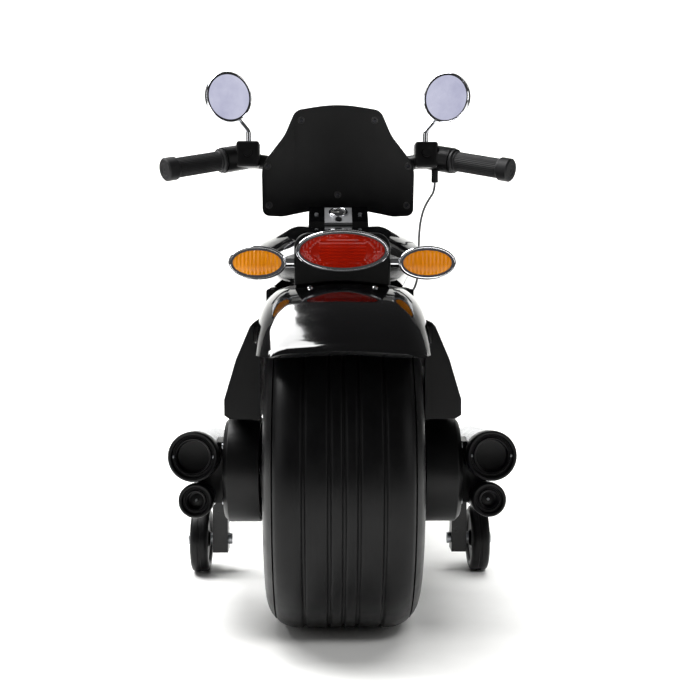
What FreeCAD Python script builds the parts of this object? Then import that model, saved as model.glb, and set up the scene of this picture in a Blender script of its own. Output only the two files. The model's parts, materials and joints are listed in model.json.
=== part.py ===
"""Kids electric motorbike: a low cruiser ride-on with a very wide rear wheel and two stabiliser wheels.

Millimetres, +Z up, +Y towards the front wheel, +X to the rider's right.
The origin is on the ground, under the middle of the bike's length.
"""
import FreeCAD, Part
import math
import os
import re
import Sketcher

doc = FreeCAD.newDocument("kids_motorbike")
sheet = doc.addObject("Spreadsheet::Sheet", "Sizes")

# Driving dimensions, each written once
SIZES = {
    # general fits
    "running_clearance": 0.05, "seat_gap": 0.2, "panel_gap": 0.4, "cut_over": 1,
    # wheels
    "wheelbase": 690, "rear_tyre_r": 175, "rear_tyre_width": 166, "rear_tyre_depth": 63,
    "rear_shoulder_r": 34,
    "rear_axle_r": 6, "groove_width": 4, "groove_depth": 2.5, "groove_inner_x": 15, "groove_outer_x": 40,
    "front_tyre_r": 160, "front_tyre_width": 66, "front_tyre_depth": 44, "front_shoulder_r": 26,
    "front_axle_r": 5, "web_thickness": 20, "hub_boss_r": 17, "window_edge": 16, "spoke_width": 20,
    "rim_wall": 8, "tyre_bead_r": 6, "rear_rim_inset": 8, "front_rim_inset": 5, "front_groove_x": 8,
    "front_web": 42,
    # gearbox inside the rear rim
    "gear_module": 2, "gear_teeth": 40, "pinion_teeth": 10, "gear_width": 11, "gear_backlash": 0.4,
    "motor_r": 14, "motor_length": 46, "motor_shaft_r": 2, "case_r": 72, "case_wall": 3,
    "shaft_inside": 20,
    # rear arms, drum covers and side covers
    "arm_gap": 2, "arm_thickness": 6, "arm_end_r": 32, "arm_height": 60, "drum_r": 59, "drum_depth": 40,
    "drum_wall": 6, "drum_round": 5, "cover_wall": 4, "cover_rear_reach": 70, "shoulder_x": 99,
    "shoulder_up": 165, "flare_x": 114, "flare_up": 130, "ledge_x": 127, "ledge_up": 87, "ledge_height": 17,
    "ledge_lip": 6, "ridge_x": 60, "ridge_up": 209, "tyre_side_gap": 5, "skirt_gap": 3, "flange_length": 80,
    # rear fender and tail
    "fender_r": 214, "fender_wall": 4, "fender_width": 184, "fender_side": 48, "fender_shoulder_r": 42,
    "fender_crown": 10, "fender_crown_r": 200, "fender_lip": 2.5, "lip_angle": 2.5,
    "fender_rear_angle": 137.5, "fender_front_angle": 60, "tail_width": 106, "tail_height": 86,
    "tail_length": 50, "tail_rear_reach": 26, "tail_base_z": 355, "tail_corner_r": 16, "tail_foot_r": 4,
    "tail_lens_width": 93, "tail_lens_height": 37, "tail_lens_depth": 11, "tail_lens_drop": 20,
    "bezel_wall": 4, "bezel_depth": 9, "signal_width": 53, "signal_height": 27, "signal_x": 93,
    "signal_drop": 33, "signal_depth": 20, "stalk_r": 5.5, "lens_round_r": 5,
    # main frame and body shells
    "floor_z": 120, "floor_height": 20, "floor_half_width": 58, "frame_gap": 21, "frame_set_back": 212,
    "cross_length": 44, "post_half_width": 25, "post_length": 30, "rail_half_width": 30,
    "rail_height": 36, "shell_gap": 11, "shell_wall": 3, "shell_top_z": 376, "shell_half_width": 98,
    "shell_base_z": 88, "shell_set_back": 185, "shell_corner_r": 26, "shell_tuck": 24,
    "shell_tuck_height": 24,
    "shell_foot_r": 8, "shell_top_r": 4,
    # tank, console and seat
    "tank_gap": 37, "tank_set_back": 250, "tank_half_width": 119, "tank_top_z": 468, "tank_wide_z": 436,
    "tank_base_half_width": 92, "tank_wall": 4, "plate_width": 40, "plate_length": 49, "plate_thickness": 4,
    "plate_tilt": 29, "plate_set_back": 67, "plate_rear_z": 465, "rail_width": 23, "rail_rise": 1,
    "tank_round_base": 6, "tank_top_r": 24, "console_sink": 14, "power_button_r": 5,
    "seat_half_width": 82, "seat_thickness": 34, "seat_front_rise": 10, "seat_waist": 15,
    "seat_front_gap": 3,
    "seat_foot_inset": 8, "seat_top_inset": 12, "seat_crown": 5,
    # exhausts
    "exhaust_out": 31, "exhaust_up": 24, "exhaust_rear": 60, "exhaust_slope": 6, "muffler_r": 26.5,
    "muffler_front_r": 20, "muffler_length": 245, "tip_r": 27.5, "tip_length": 16, "pipe_out": 29,
    "pipe_down": 25,
    "pipe_r": 17.5, "pipe_tip_r": 19, "pipe_length": 190, "pipe_set_in": 4, "hanger_lap": 10,
    "hanger_length": 40, "exhaust_bore": 8, "taper_length": 40, "taper_depth": 5, "tip_rim": 9,
    "tip_bore": 3, "tip_recess": 9,
    # stabilisers and footrests
    "stabiliser_r": 43, "stabiliser_width": 24, "stabiliser_x": 184, "stabiliser_ahead": 219,
    "stabiliser_bolt_r": 4, "bracket_width": 20, "bracket_depth": 28, "bracket_foot": 16, "bracket_bar": 16,
    "nut_r": 7.5, "nut_height": 5, "stabiliser_round": 5, "peg_r": 10, "peg_reach": 150,
    "peg_set_back": 115,
    "peg_flange": 3,
    # steering
    "rake": 30, "fork_offset": 25, "fork_half_spacing": 58, "fork_leg_r": 11, "stem_r": 12.5,
    "bush_wall": 3,
    "bush_length": 20, "head_r": 24, "crown_at": 200, "crown_height": 22, "head_at": 226, "head_length": 90,
    "yoke_at": 320, "yoke_height": 18, "yoke_half_width": 72, "yoke_margin": 4, "leg_overhang": 12,
    "leg_foot": 20,
    "axle_overhang": 6, "front_fender_side": 34, "front_fender_crown": 8, "front_crown_r": 90,
    "front_fender_shoulder_r": 22, "front_fender_gap": 12, "front_fender_wall": 4, "front_fender_rear": 160,
    "front_fender_front": 35,
    # handlebar, grips and controls
    "bar_at": 454, "bar_ahead": 30, "bar_r": 11, "bar_inner_x": 60, "bar_shoulder_x": 152, "bar_end_x": 247,
    "bar_shoulder_back": 22, "bar_shoulder_rise": 12, "bar_end_back": 68, "bar_end_drop": 23,
    "bar_bend_r": 45,
    "riser_half_width": 24, "riser_half_depth": 14.5, "grip_r": 14.5, "grip_length": 98,
    "grip_flange_r": 18,
    "grip_flange": 5, "grip_cap": 4, "grip_vent_r": 2, "grip_end_r": 17, "grip_end_length": 18,
    "collar_r": 19, "collar_overlap": 14, "collar_gap": 1, "switch_width": 34, "switch_depth": 40,
    "switch_height": 38, "switch_back": 25, "switch_below": 12, "switch_round_r": 4, "gland_r": 5,
    "gland_length": 36, "gland_x": 146, "button_up": 9, "post_depth": 9,
    "left_switch_x": 134, "right_switch_x": 132, "button_r": 6, "button_height": 5, "button_travel": 2,
    "mirror_r": 37, "mirror_depth": 13, "mirror_glass": 2, "mirror_rise": 101, "mirror_x": 168,
    "mirror_back": 4, "mirror_round_r": 9, "mirror_rim": 2.5, "mirror_stem_r": 4, "mirror_post": 16,
    "stem_bend_r": 14, "mirror_standoff": 14, "mirror_turn": 30,
    # fairing
    "fairing_drop": 72, "fairing_back": 5, "fairing_tilt": 15, "fairing_height": 167,
    "fairing_half_width": 113,
    "fairing_foot_inset": 30, "fairing_foot_rise": 4, "fairing_shoulder_z": 80, "fairing_waist_half": 79,
    "fairing_waist_z": 122, "fairing_top_half": 63, "fairing_top_drop": 9, "fairing_arch": 13,
    "fairing_foot_r": 30, "fairing_corner_r": 12, "fairing_shoulder_r": 40, "fairing_waist_r": 60,
    "fairing_top_r": 16, "fairing_arch_r": 110, "top_screw_x": 53, "top_screw_z": 142, "side_screw_x": 102,
    "side_screw_z": 77, "foot_screw_x": 101, "foot_screw_z": 18, "middle_screw_z": 30,
    "fairing_curve_r": 260, "fairing_wall": 4, "fairing_depth": 58, "cowl_inset": 5, "cowl_break": 18,
    "cowl_taper": 22, "cowl_bar_gap": 5, "headlight_r": 42, "headlight_depth": 14, "headlight_up": 88,
    "headlight_round_r": 6, "screw_r": 3, "screw_height": 2,
    # battery, control box, socket and cable
    "battery_width": 90, "battery_length": 70, "battery_height": 101, "control_width": 60,
    "control_length": 90, "control_height": 25, "socket_r": 9, "socket_depth": 12, "cable_r": 1.7,
    "grommet_r": 6, "grommet_length": 8, "grommet_flange": 3, "grommet_set_in": 9.5, "grommet_neck_r": 4,
    "grommet_set_back": 105, "grommet_z": 362, "socket_set_back": 205, "socket_z": 290,
    "socket_flange_depth": 2.5,
    "socket_flange": 3, "plug_r": 2.8, "plug_depth": 10, "battery_space": 10,
    "drum_screw_circle": 44,
}

# Places that follow from the driving dimensions
PLACES = {
    "rear_y": "-(wheelbase + front_tyre_r - rear_tyre_r) / 2",
    "front_y": "rear_y + wheelbase",
    "rear_rim_r": "rear_tyre_r - rear_tyre_depth",
    "front_rim_r": "front_tyre_r - front_tyre_depth",
    "window_circle_r": "(front_rim_r - rim_wall - window_edge + spoke_width / 2) / 1.5",
    "window_r": "(window_circle_r - spoke_width) / 2",
    "frame_rear": "rear_tyre_r + frame_gap",
    "shell_rear": "rear_tyre_r + shell_gap",
    "tank_rear": "rear_tyre_r + tank_gap",
    "frame_front": "wheelbase - frame_set_back",
    "shell_front": "wheelbase - shell_set_back",
    "tank_front": "wheelbase - tank_set_back",
    "plate_rear": "tank_front - plate_set_back",
    "peg_ahead": "shell_front - peg_set_back",
    "grommet_ahead": "shell_front - grommet_set_back",
    "socket_ahead": "shell_front - socket_set_back",
    "arm_inner_x": "rear_tyre_width / 2 + arm_gap",
    "arm_outer_x": "arm_inner_x + arm_thickness",
    "drum_outer_x": "arm_outer_x + drum_depth",
    "exhaust_x": "drum_outer_x + exhaust_out",
    "exhaust_z": "rear_tyre_r + exhaust_up",
    "pipe_x": "drum_outer_x + pipe_out",
    "pipe_z": "rear_tyre_r - pipe_down",
    "ridge_z": "rear_tyre_r + ridge_up",
    "shoulder_z": "rear_tyre_r + shoulder_up",
    "flare_z": "rear_tyre_r + flare_up",
    "ledge_z": "rear_tyre_r + ledge_up",
    "seat_z": "rear_tyre_r + fender_r + 1",
    "rail_z": "shell_top_z - rail_height",
    "seat_rail_y": "rear_y + fender_r * cos(fender_front_angle) + panel_gap",
    "tail_rear_y": "rear_y - tail_rear_reach",
    "tail_lens_z": "tail_base_z + tail_height - tail_lens_drop",
    "signal_z": "tail_base_z + tail_height - signal_drop",
    "gear_distance": "gear_module * (gear_teeth + pinion_teeth) / 2",
    "gear_x": "web_thickness / 2",
    "case_x": "gear_x + gear_width + 2",
    "stabiliser_y": "rear_y + stabiliser_ahead",
    "bracket_x": "stabiliser_x - stabiliser_width / 2 - 4 - bracket_width",
    "foot_y": "front_y - fork_offset * cos(rake)",
    "foot_z": "front_tyre_r - fork_offset * sin(rake)",
    "floor_top_z": "floor_z + floor_height",
    "bracket_bar_z": "rear_tyre_r - arm_height / 2 + 5",
    "cover_inner_x": "fender_width / 2 + fender_lip + panel_gap",
    "front_fender_r": "front_tyre_r + front_fender_gap + front_fender_wall",
    "front_fender_half": "fork_half_spacing - fork_leg_r - panel_gap",
}
NAMES = set(SIZES) | set(PLACES)


def degrees_in(words):
    """A formula's words with each named angle read in degrees."""
    return re.sub(r"\b(cos|sin|tan)\((\w+)\)", r"\1(\2 * 1deg)", words)


for row, (alias, number) in enumerate(SIZES.items(), start=1):
    sheet.set("A%d" % row, alias)
    sheet.set("B%d" % row, str(number))
    sheet.setAlias("B%d" % row, alias)
for row, (alias, formula) in enumerate(PLACES.items(), start=1):
    sheet.set("C%d" % row, alias)
    sheet.set("D%d" % row, "=" + degrees_in(formula))
    sheet.setAlias("D%d" % row, alias)
doc.recompute()


class SizeReader:
    """Reads a dimension or a place from the sheet as a plain number."""

    def __getattr__(self, alias):
        return float(getattr(sheet, alias))


size = SizeReader()
X, Y, Z = FreeCAD.Vector(1, 0, 0), FreeCAD.Vector(0, 1, 0), FreeCAD.Vector(0, 0, 1)
ALONG = {"X": FreeCAD.Rotation(Y, 90), "Y": FreeCAD.Rotation(X, -90), "Z": FreeCAD.Rotation()}
nodes = []


def point(x, y, z):
    """A point of the bike, in millimetres."""
    return FreeCAD.Vector(x, y, z)


def formula_of(words):
    """The words of a formula with each sheet name made a link to its cell."""
    words = degrees_in(str(words))
    return re.sub(r"[a-z][a-z_0-9]*", lambda m: "Sizes." + m[0] if m[0] in NAMES else m[0], words)


def number_of(words):
    """The present value of a formula."""
    return float(sheet.evalExpression(formula_of(words)))


def bind(item, **formulas):
    """Tie properties of an item to the sheet."""
    for name, words in formulas.items():
        item.setExpression(name, formula_of(words))


def put(item, x, y, z):
    """Tie an item's place to the sheet."""
    for letter, words in zip("xyz", (x, y, z)):
        item.setExpression("Placement.Base." + letter, formula_of(words))
    return item


def node(item, label):
    """Name a finished sub-part; its label is the name of its file."""
    item.Label = label
    nodes.append(item)
    return item


def block(name, lengths, corner):
    """A box from its lowest corner."""
    item = doc.addObject("Part::Box", name)
    bind(item, Length=lengths[0], Width=lengths[1], Height=lengths[2])
    return put(item, *corner)


def rod(name, radius, length, start, axis="X"):
    """A round bar from its start, along a row axis."""
    item = doc.addObject("Part::Cylinder", name)
    bind(item, Radius=radius, Height=length)
    item.Placement.Rotation = ALONG[axis]
    return put(item, *start)


def fuse(name, *parts):
    """Several solids grown into one."""
    item = doc.addObject("Part::MultiFuse", name)
    item.Shapes = list(parts)
    item.Refine = True
    return item


def cut(name, base, *tools):
    """A solid with other solids taken out of it."""
    item = doc.addObject("Part::Cut", name)
    item.Base = base
    item.Tool = tools[0] if len(tools) == 1 else fuse(name + "_tools", *tools)
    return item


def common(name, first, second):
    """What two solids share."""
    item = doc.addObject("Part::Common", name)
    item.Base = first
    item.Tool = second
    return item


def mirrored(name, source):
    """The same solid on the other side of the bike."""
    item = doc.addObject("Part::Mirroring", name)
    item.Source = source
    item.Normal = X
    return item


def group(name, *parts):
    """Separate solids that share a node."""
    item = doc.addObject("Part::Compound", name)
    item.Links = list(parts)
    return item


def shaped(name, shape):
    """A solid whose form is worked out here from the sheet's sizes."""
    item = doc.addObject("Part::Feature", name)
    item.Shape = shape
    return item


def sketch_on(body, role, outline):
    """A closed outline on one of the body's own planes, each corner tied to the sheet."""
    sketch = body.newObject("Sketcher::SketchObject", body.Name + "_outline")
    plane = [item for item in body.Origin.OriginFeatures if item.Role == role][0]
    sketch.AttachmentSupport = [(plane, "")]
    sketch.MapMode = "FlatFace"
    corners = [point(number_of(u), number_of(v), 0) for u, v in outline]
    for index, corner in enumerate(corners):
        following = corners[(index + 1) % len(corners)]
        sketch.addGeometry(Part.LineSegment(corner, following), False)
    for index in range(len(corners)):
        before = (index - 1) % len(corners)
        sketch.addConstraint(Sketcher.Constraint("Coincident", before, 2, index, 1))
    for index, (u, v) in enumerate(outline):
        for kind, words, now in (("DistanceX", u, corners[index].x), ("DistanceY", v, corners[index].y)):
            row = sketch.addConstraint(Sketcher.Constraint(kind, -1, 1, index, 1, now))
            sketch.setExpression("Constraints[%d]" % row, formula_of(words))
    return sketch


def lathe(name, outline, place=("0", "0", "0"), turn=None):
    """A turned piece: an outline of (along X, radius) corners spun about the X axis."""
    body = doc.addObject("PartDesign::Body", name)
    sketch = sketch_on(body, "XY_Plane", outline)
    spin = body.newObject("PartDesign::Revolution", name + "_spin")
    spin.Profile = sketch
    spin.ReferenceAxis = (sketch, ["H_Axis"])
    spin.Angle = 360
    if turn is not None:
        body.Placement.Rotation = turn
    return put(body, *place)


def pad(name, role, outline, depth, place=("0", "0", "0")):
    """A plate: an outline on an origin plane, padded to a depth."""
    body = doc.addObject("PartDesign::Body", name)
    sketch = sketch_on(body, role, outline)
    plate = body.newObject("PartDesign::Pad", name + "_pad")
    plate.Profile = sketch
    bind(plate, Length=depth)
    return put(body, *place)


def rounded_wire(points, radii, closed=True):
    """Straight runs joined by tangent arcs, one radius for each corner."""
    count = len(points)
    edges = []
    ends = []
    for index, corner in enumerate(points):
        if radii[index] == 0 or (not closed and index in (0, count - 1)):
            ends.append((corner, corner))
            continue
        back = (points[index - 1] - corner).normalize()
        ahead = (points[(index + 1) % count] - corner).normalize()
        half_inside = back.getAngle(ahead) / 2
        reach = radii[index] / math.tan(half_inside)
        middle = (back + ahead).normalize()
        apex = corner + middle * (radii[index] / math.sin(half_inside) - radii[index])
        first, last = corner + back * reach, corner + ahead * reach
        ends.append((first, last))
        edges.append((index, Part.Arc(first, apex, last).toShape()))
    runs = count if closed else count - 1
    arcs = dict(edges)
    ordered = []
    for index in range(runs):
        if index in arcs:
            ordered.append(arcs[index])
        start, stop = ends[index][1], ends[(index + 1) % count][0]
        if (stop - start).Length > 1e-6:
            ordered.append(Part.LineSegment(start, stop).toShape())
    return Part.Wire(ordered)


def tube(path, radius):
    """A round solid along a path of runs and arcs."""
    start = path.Edges[0]
    heading = start.tangentAt(start.FirstParameter)
    ring = Part.Wire(Part.makeCircle(radius, start.valueAt(start.FirstParameter), heading))
    return path.makePipeShell([ring], True, False)


def ellipse_prism(width, height, depth, centre):
    """An upright ellipse on the XZ plane, pushed out towards the rear."""
    ring = Part.Ellipse(point(0, 0, 0), max(width, height) / 2, min(width, height) / 2).toShape()
    face = Part.Face(Part.Wire(ring))
    face.rotate(point(0, 0, 0), X, 90)
    face.translate(centre)
    return face.extrude(Y * -depth)


def revolved(outline, centre):
    """A closed outline on the XY plane spun about the X axis through its centre."""
    ring = Part.Face(outline).revolve(point(0, 0, 0), X, 360)
    ring.translate(centre)
    return ring


def ring_groove(x, outer, inner, width, centre):
    """A cutter for a groove round a wheel."""
    start = point(x - width / 2, 0, 0)
    ring = Part.makeCylinder(outer, width, start, X).cut(Part.makeCylinder(inner, width, start, X))
    ring.translate(centre)
    return ring


def tyre_outline(bore, radius, width, shoulder):
    """Half a tyre's section, with rounded shoulders."""
    half = width / 2
    corners = [point(-half, bore, 0), point(half, bore, 0), point(half, radius, 0), point(-half, radius, 0)]
    return rounded_wire(corners, [size.tyre_bead_r, size.tyre_bead_r, shoulder, shoulder])


def gear_outline(teeth, module, phase, backlash):
    """A spur gear's outline in the YZ plane, with one tooth centred on the phase angle."""
    pitch_r = module * teeth / 2
    spread = math.pi / teeth
    thin = backlash / 2 / pitch_r
    corners = []
    for tooth in range(teeth):
        middle = math.radians(phase) + 2 * spread * tooth
        for radius, offset in ((pitch_r - 1.25 * module, -0.72), (pitch_r + module, -0.24),
                               (pitch_r + module, 0.24), (pitch_r - 1.25 * module, 0.72)):
            angle = middle + offset * spread - math.copysign(thin, offset)
            corners.append(point(0, radius * math.cos(angle), radius * math.sin(angle)))
    return Part.Face(Part.makePolygon(corners + corners[:1]))


def section_loft(sections):
    """A solid through closed outlines."""
    return Part.makeLoft(sections, True, False)


rear_centre = point(0, size.rear_y, size.rear_tyre_r)
front_centre = point(0, size.front_y, size.front_tyre_r)

# Rear wheel: a wide ribbed tyre on a moulded rim
rear_tyre = revolved(tyre_outline(size.rear_rim_r + size.seat_gap, size.rear_tyre_r, size.rear_tyre_width,
                                  size.rear_shoulder_r), rear_centre)
tread_lines = [0]
for offset in (size.groove_inner_x, size.groove_outer_x):
    tread_lines += [offset, -offset]
for line in tread_lines:
    rear_tyre = rear_tyre.cut(ring_groove(line, size.rear_tyre_r + size.cut_over,
                                          size.rear_tyre_r - size.groove_depth,
                                          size.groove_width, rear_centre))
node(shaped("rear_tyre", rear_tyre), "rear_tyre")


def rim_outline(boss_half, barrel_half, bore, radius, web_half, closed_left):
    """A rim's section: hub boss, web and barrel, dished on the right or on both sides."""
    barrel = radius + " - rim_wall"
    right = [("-" + boss_half, bore), (boss_half, bore), (boss_half, "hub_boss_r"), (web_half,
                                                                                     "hub_boss_r"),
             (web_half, barrel), (barrel_half, barrel), (barrel_half, radius), ("-" + barrel_half, radius)]
    dish = [("-" + barrel_half, barrel), ("-" + web_half, barrel), ("-" + web_half, "hub_boss_r")]
    left = [("-" + barrel_half, "hub_boss_r")] if closed_left else dish
    return right + left + [("-" + boss_half, "hub_boss_r")]


rear_place = ("0", "rear_y", "rear_tyre_r")
front_place = ("0", "front_y", "front_tyre_r")
node(lathe("rear_rim", rim_outline("(arm_inner_x - panel_gap)", "(rear_tyre_width / 2 - rear_rim_inset)",
                                   "rear_axle_r + running_clearance", "rear_rim_r", "web_thickness / 2",
                                   True),
           rear_place), "rear_rim")
node(rod("rear_axle", "rear_axle_r", "2 * drum_outer_x", ("-drum_outer_x", "rear_y", "rear_tyre_r")),
     "rear_axle")

# Gear drive inside the rear rim: a ring gear on the hub and a motor in a fixed case
gear = gear_outline(int(size.gear_teeth), size.gear_module, 90,
                    size.gear_backlash).extrude(X * size.gear_width)
gear.translate(rear_centre + X * size.gear_x)
gear_bore = Part.makeCylinder(size.hub_boss_r + size.seat_gap, size.gear_width,
                              rear_centre + X * size.gear_x, X)
node(shaped("drive_gear", gear.cut(gear_bore)), "drive_gear")
motor_centre = rear_centre + Z * size.gear_distance
motor_place = ("rear_y", "rear_tyre_r + gear_distance")
pinion = gear_outline(int(size.pinion_teeth), size.gear_module, 270 + 180 / size.pinion_teeth,
                      size.gear_backlash)
pinion_x = size.gear_x + size.panel_gap
pinion = pinion.extrude(X * (size.gear_width - size.panel_gap))
pinion.translate(motor_centre + X * pinion_x)
shaft_length = size.case_x + size.case_wall + size.shaft_inside - pinion_x
pinion = pinion.fuse(Part.makeCylinder(size.motor_shaft_r, shaft_length, motor_centre + X * pinion_x, X))
node(shaped("motor_pinion", pinion.removeSplitter()), "motor_pinion")
case = lathe("case_turned", [("case_x", "hub_boss_r + 2"), ("case_x", "case_r"), ("arm_inner_x", "case_r"),
                             ("arm_inner_x", "case_r - case_wall"), ("case_x + case_wall",
                                                                     "case_r - case_wall"),
                             ("case_x + case_wall", "hub_boss_r + 2")], rear_place)
shaft_hole = rod("case_shaft_hole", "motor_shaft_r + 1", "case_wall + 2", ("case_x - 1",) + motor_place)
node(cut("gearbox_case", case, shaft_hole), "gearbox_case")
can = rod("motor_can", "motor_r", "motor_length", ("case_x + case_wall",) + motor_place)
can_bore = rod("motor_bore", "motor_shaft_r + running_clearance", "shaft_inside + 1",
               ("case_x + case_wall - 0.5",) + motor_place)
node(cut("motor", can, can_bore), "motor")

# Front wheel: a slimmer tyre on a rim with round windows
front_tyre = revolved(tyre_outline(size.front_rim_r + size.seat_gap, size.front_tyre_r,
                                   size.front_tyre_width,
                                   size.front_shoulder_r), front_centre)
for line in (size.front_groove_x, -size.front_groove_x):
    front_tyre = front_tyre.cut(ring_groove(line, size.front_tyre_r + size.cut_over,
                                            size.front_tyre_r - size.groove_depth,
                                            size.groove_width, front_centre))
node(shaped("front_tyre", front_tyre), "front_tyre")
front_disc = lathe("front_disc", rim_outline("(fork_half_spacing - fork_leg_r - panel_gap)",
                                             "(front_tyre_width / 2 - front_rim_inset)",
                                             "front_axle_r + running_clearance", "front_rim_r",
                                             "front_web / 2",
                                             False), front_place)
windows = []
for turn in range(5):
    angle = "%d * 1deg" % (90 + 72 * turn)
    windows.append(rod("window_%d" % turn, "window_r", "front_web + 2 * cut_over",
                       ("-front_web / 2 - cut_over", "front_y + window_circle_r * cos(%s)" % angle,
                        "front_tyre_r + window_circle_r * sin(%s)" % angle)))
node(cut("front_rim", front_disc, *windows), "front_rim")

# Rear arms carry the axle; a turned cap closes each one outside
arm_bar = block("arm_bar", ("arm_thickness", "frame_rear + cross_length", "arm_height"),
                ("arm_inner_x", "rear_y", "rear_tyre_r - arm_height / 2"))
arm_end = rod("arm_end", "arm_end_r", "arm_thickness", ("arm_inner_x", "rear_y", "rear_tyre_r"))
arm_bore = rod("arm_bore", "rear_axle_r + running_clearance", "arm_thickness + 2 * cut_over",
               ("arm_inner_x - cut_over", "rear_y", "rear_tyre_r"))
arm_right = cut("arm_right", fuse("arm_blank", arm_bar, arm_end), arm_bore)
node(group("rear_arms", arm_right, mirrored("arm_left", arm_right)), "rear_arms")
drum_hole = "rear_axle_r + panel_gap"
drum_face = "drum_outer_x - drum_wall"
drum_turned = lathe("drum_turned", [
    ("arm_outer_x", "drum_r"), ("drum_outer_x - drum_round", "drum_r"), ("drum_outer_x",
                                                                         "drum_r - drum_round"),
    ("drum_outer_x", drum_hole), (drum_face, drum_hole), (drum_face, "drum_r - drum_wall - drum_round"),
    (drum_face + " - drum_round", "drum_r - drum_wall"), ("arm_outer_x", "drum_r - drum_wall")], rear_place)


def steered(x, ahead, up):
    """The place of a point given across, ahead of and up along the steering axis."""
    return (x, "foot_y - (%s) * sin(rake) + (%s) * cos(rake)" % (up, ahead),
            "foot_z + (%s) * cos(rake) + (%s) * sin(rake)" % (up, ahead))


def steer_rod(name, radius, length, x, ahead, up):
    """A round bar along the steering axis."""
    item = doc.addObject("Part::Cylinder", name)
    bind(item, Radius=radius, Height=length)
    item.Placement.Rotation = FreeCAD.Rotation(X, size.rake)
    return put(item, *steered(x, ahead, up))


def steer_block(name, lengths, x, ahead, up):
    """A box square to the steering axis, from its lowest corner."""
    item = doc.addObject("Part::Box", name)
    bind(item, Length=lengths[0], Width=lengths[1], Height=lengths[2])
    item.Placement.Rotation = FreeCAD.Rotation(X, size.rake)
    return put(item, *steered(x, ahead, up))


# Main frame: floor, cross beam, post, rails and the steering head
head_y = "(foot_y - (rail_z + rail_height / 2 - foot_z) * tan(rake))"
frame_solid = fuse(
    "frame_blank",
    block("frame_floor", ("2 * floor_half_width", "frame_front - post_length / 2 - frame_rear",
                          "floor_height"),
          ("-floor_half_width", "rear_y + frame_rear", "floor_z")),
    block("frame_cross", ("2 * arm_inner_x", "cross_length", "arm_height"),
          ("-arm_inner_x", "rear_y + frame_rear", "rear_tyre_r - arm_height / 2")),
    block("frame_cross_foot", ("2 * floor_half_width", "cross_length", "rear_tyre_r - floor_z"),
          ("-floor_half_width", "rear_y + frame_rear", "floor_z")),
    block("frame_post", ("2 * post_half_width", "post_length", "rail_z - floor_z + rail_height / 2"),
          ("-post_half_width", "rear_y + frame_front - post_length", "floor_z")),
    block("frame_rail", ("2 * rail_half_width", head_y + " - seat_rail_y", "rail_height"),
          ("-rail_half_width", "seat_rail_y", "rail_z")),
    block("seat_rail", ("2 * rail_half_width", "rear_y + tank_rear - 4 - seat_rail_y",
                        "seat_z - 0.3 - rail_z"),
          ("-rail_half_width", "seat_rail_y", "rail_z")),
    steer_rod("head_tube", "head_r", "head_length", "0", "0", "head_at"))
head_bore = steer_rod("head_bore", "stem_r + bush_wall + seat_gap", "head_length + 2", "0", "0",
                      "head_at - 1")
head_front = steer_block("head_front", ("2 * rail_half_width + 2", "rail_half_width", "head_length"),
                         "-rail_half_width - 1", "head_r", "head_at")
node(cut("main_frame", frame_solid, head_bore, head_front), "main_frame")
bushes = []
for name, up in (("bush_lower", "head_at"), ("bush_upper", "head_at + head_length - bush_length")):
    sleeve = steer_rod(name + "_sleeve", "stem_r + bush_wall", "bush_length", "0", "0", up)
    hole = steer_rod(name + "_hole", "stem_r + running_clearance", "bush_length + 2", "0", "0", up + " - 1")
    bushes.append(cut(name, sleeve, hole))
node(group("head_bushes", *bushes), "head_bushes")

# Body shells: two mirrored halves, open at the top under the tank and seat
# Each station: its share of the body's length, how much narrower and how much higher at its foot
SHELL_STATIONS = ((0, 3, 20), (0.36, 0, 0), (0.67, 10, 4), (0.89, 30, 12), (1, 52, 80))


def shell_section(y, half, low, high):
    """One cross-section of the body, tucked in at its foot."""
    foot = half - size.shell_tuck
    knee = low + size.shell_tuck_height
    corners = [point(-foot, y, low), point(foot, y, low), point(half, y, knee), point(half, y, high),
               point(-half, y, high), point(-half, y, knee)]
    foot_r, top_r, knee_r = size.shell_foot_r, size.shell_top_r, size.shell_corner_r
    return rounded_wire(corners, [foot_r, foot_r, knee_r, top_r, top_r, knee_r])


outer, inner = [], []
wall = size.shell_wall
for share, narrow, raised in SHELL_STATIONS:
    y = size.rear_y + size.shell_rear + (size.shell_front - size.shell_rear) * share
    half, low = size.shell_half_width - narrow, size.shell_base_z + raised
    outer.append(shell_section(y, half, low, size.shell_top_z))
    y += {0: wall, 1: -wall}.get(share, 0)
    inner.append(shell_section(y, half - wall, low + wall, size.shell_top_z + 4 * wall))
shell_hollow = shaped("shell_hollow", section_loft(outer).cut(section_loft(inner)))
half_space = block("shell_half_space", ("2 * shell_half_width", "2 * wheelbase", "2 * shell_top_z"),
                   ("panel_gap / 2", "rear_y - wheelbase / 2", "0"))
rail_slot = block("shell_rail_slot", ("2 * rail_half_width + 2 * panel_gap", "wheelbase",
                                      "2 * rail_height"),
                  ("-rail_half_width - panel_gap", "rear_y", "rail_z - panel_gap"))
arm_slot = block("shell_arm_slot", ("arm_thickness + 2 * panel_gap", "frame_rear + cross_length + panel_gap",
                                    "arm_height + 2 * panel_gap"),
                 ("arm_inner_x - panel_gap", "rear_y", "rear_tyre_r - arm_height / 2 - panel_gap"))
bracket_slot = block("shell_bracket_slot", ("shell_half_width", "bracket_depth + 2 * panel_gap",
                                            "bracket_bar + 2 * panel_gap"),
                     ("arm_outer_x - panel_gap", "stabiliser_y - bracket_depth / 2 - panel_gap",
                      "bracket_bar_z - panel_gap"))
peg_slot = rod("shell_peg_slot", "peg_r + panel_gap", "peg_reach",
               ("floor_half_width", "rear_y + peg_ahead", "floor_z + floor_height / 2"))
head_slot = steer_rod("shell_head_slot", "head_r + panel_gap", "2 * head_length", "0", "0",
                      "head_at - head_length")
shell_right = cut("shell_right_cut", common("shell_right_half", shell_hollow, half_space),
                  rail_slot, arm_slot, bracket_slot, peg_slot, head_slot)
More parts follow.
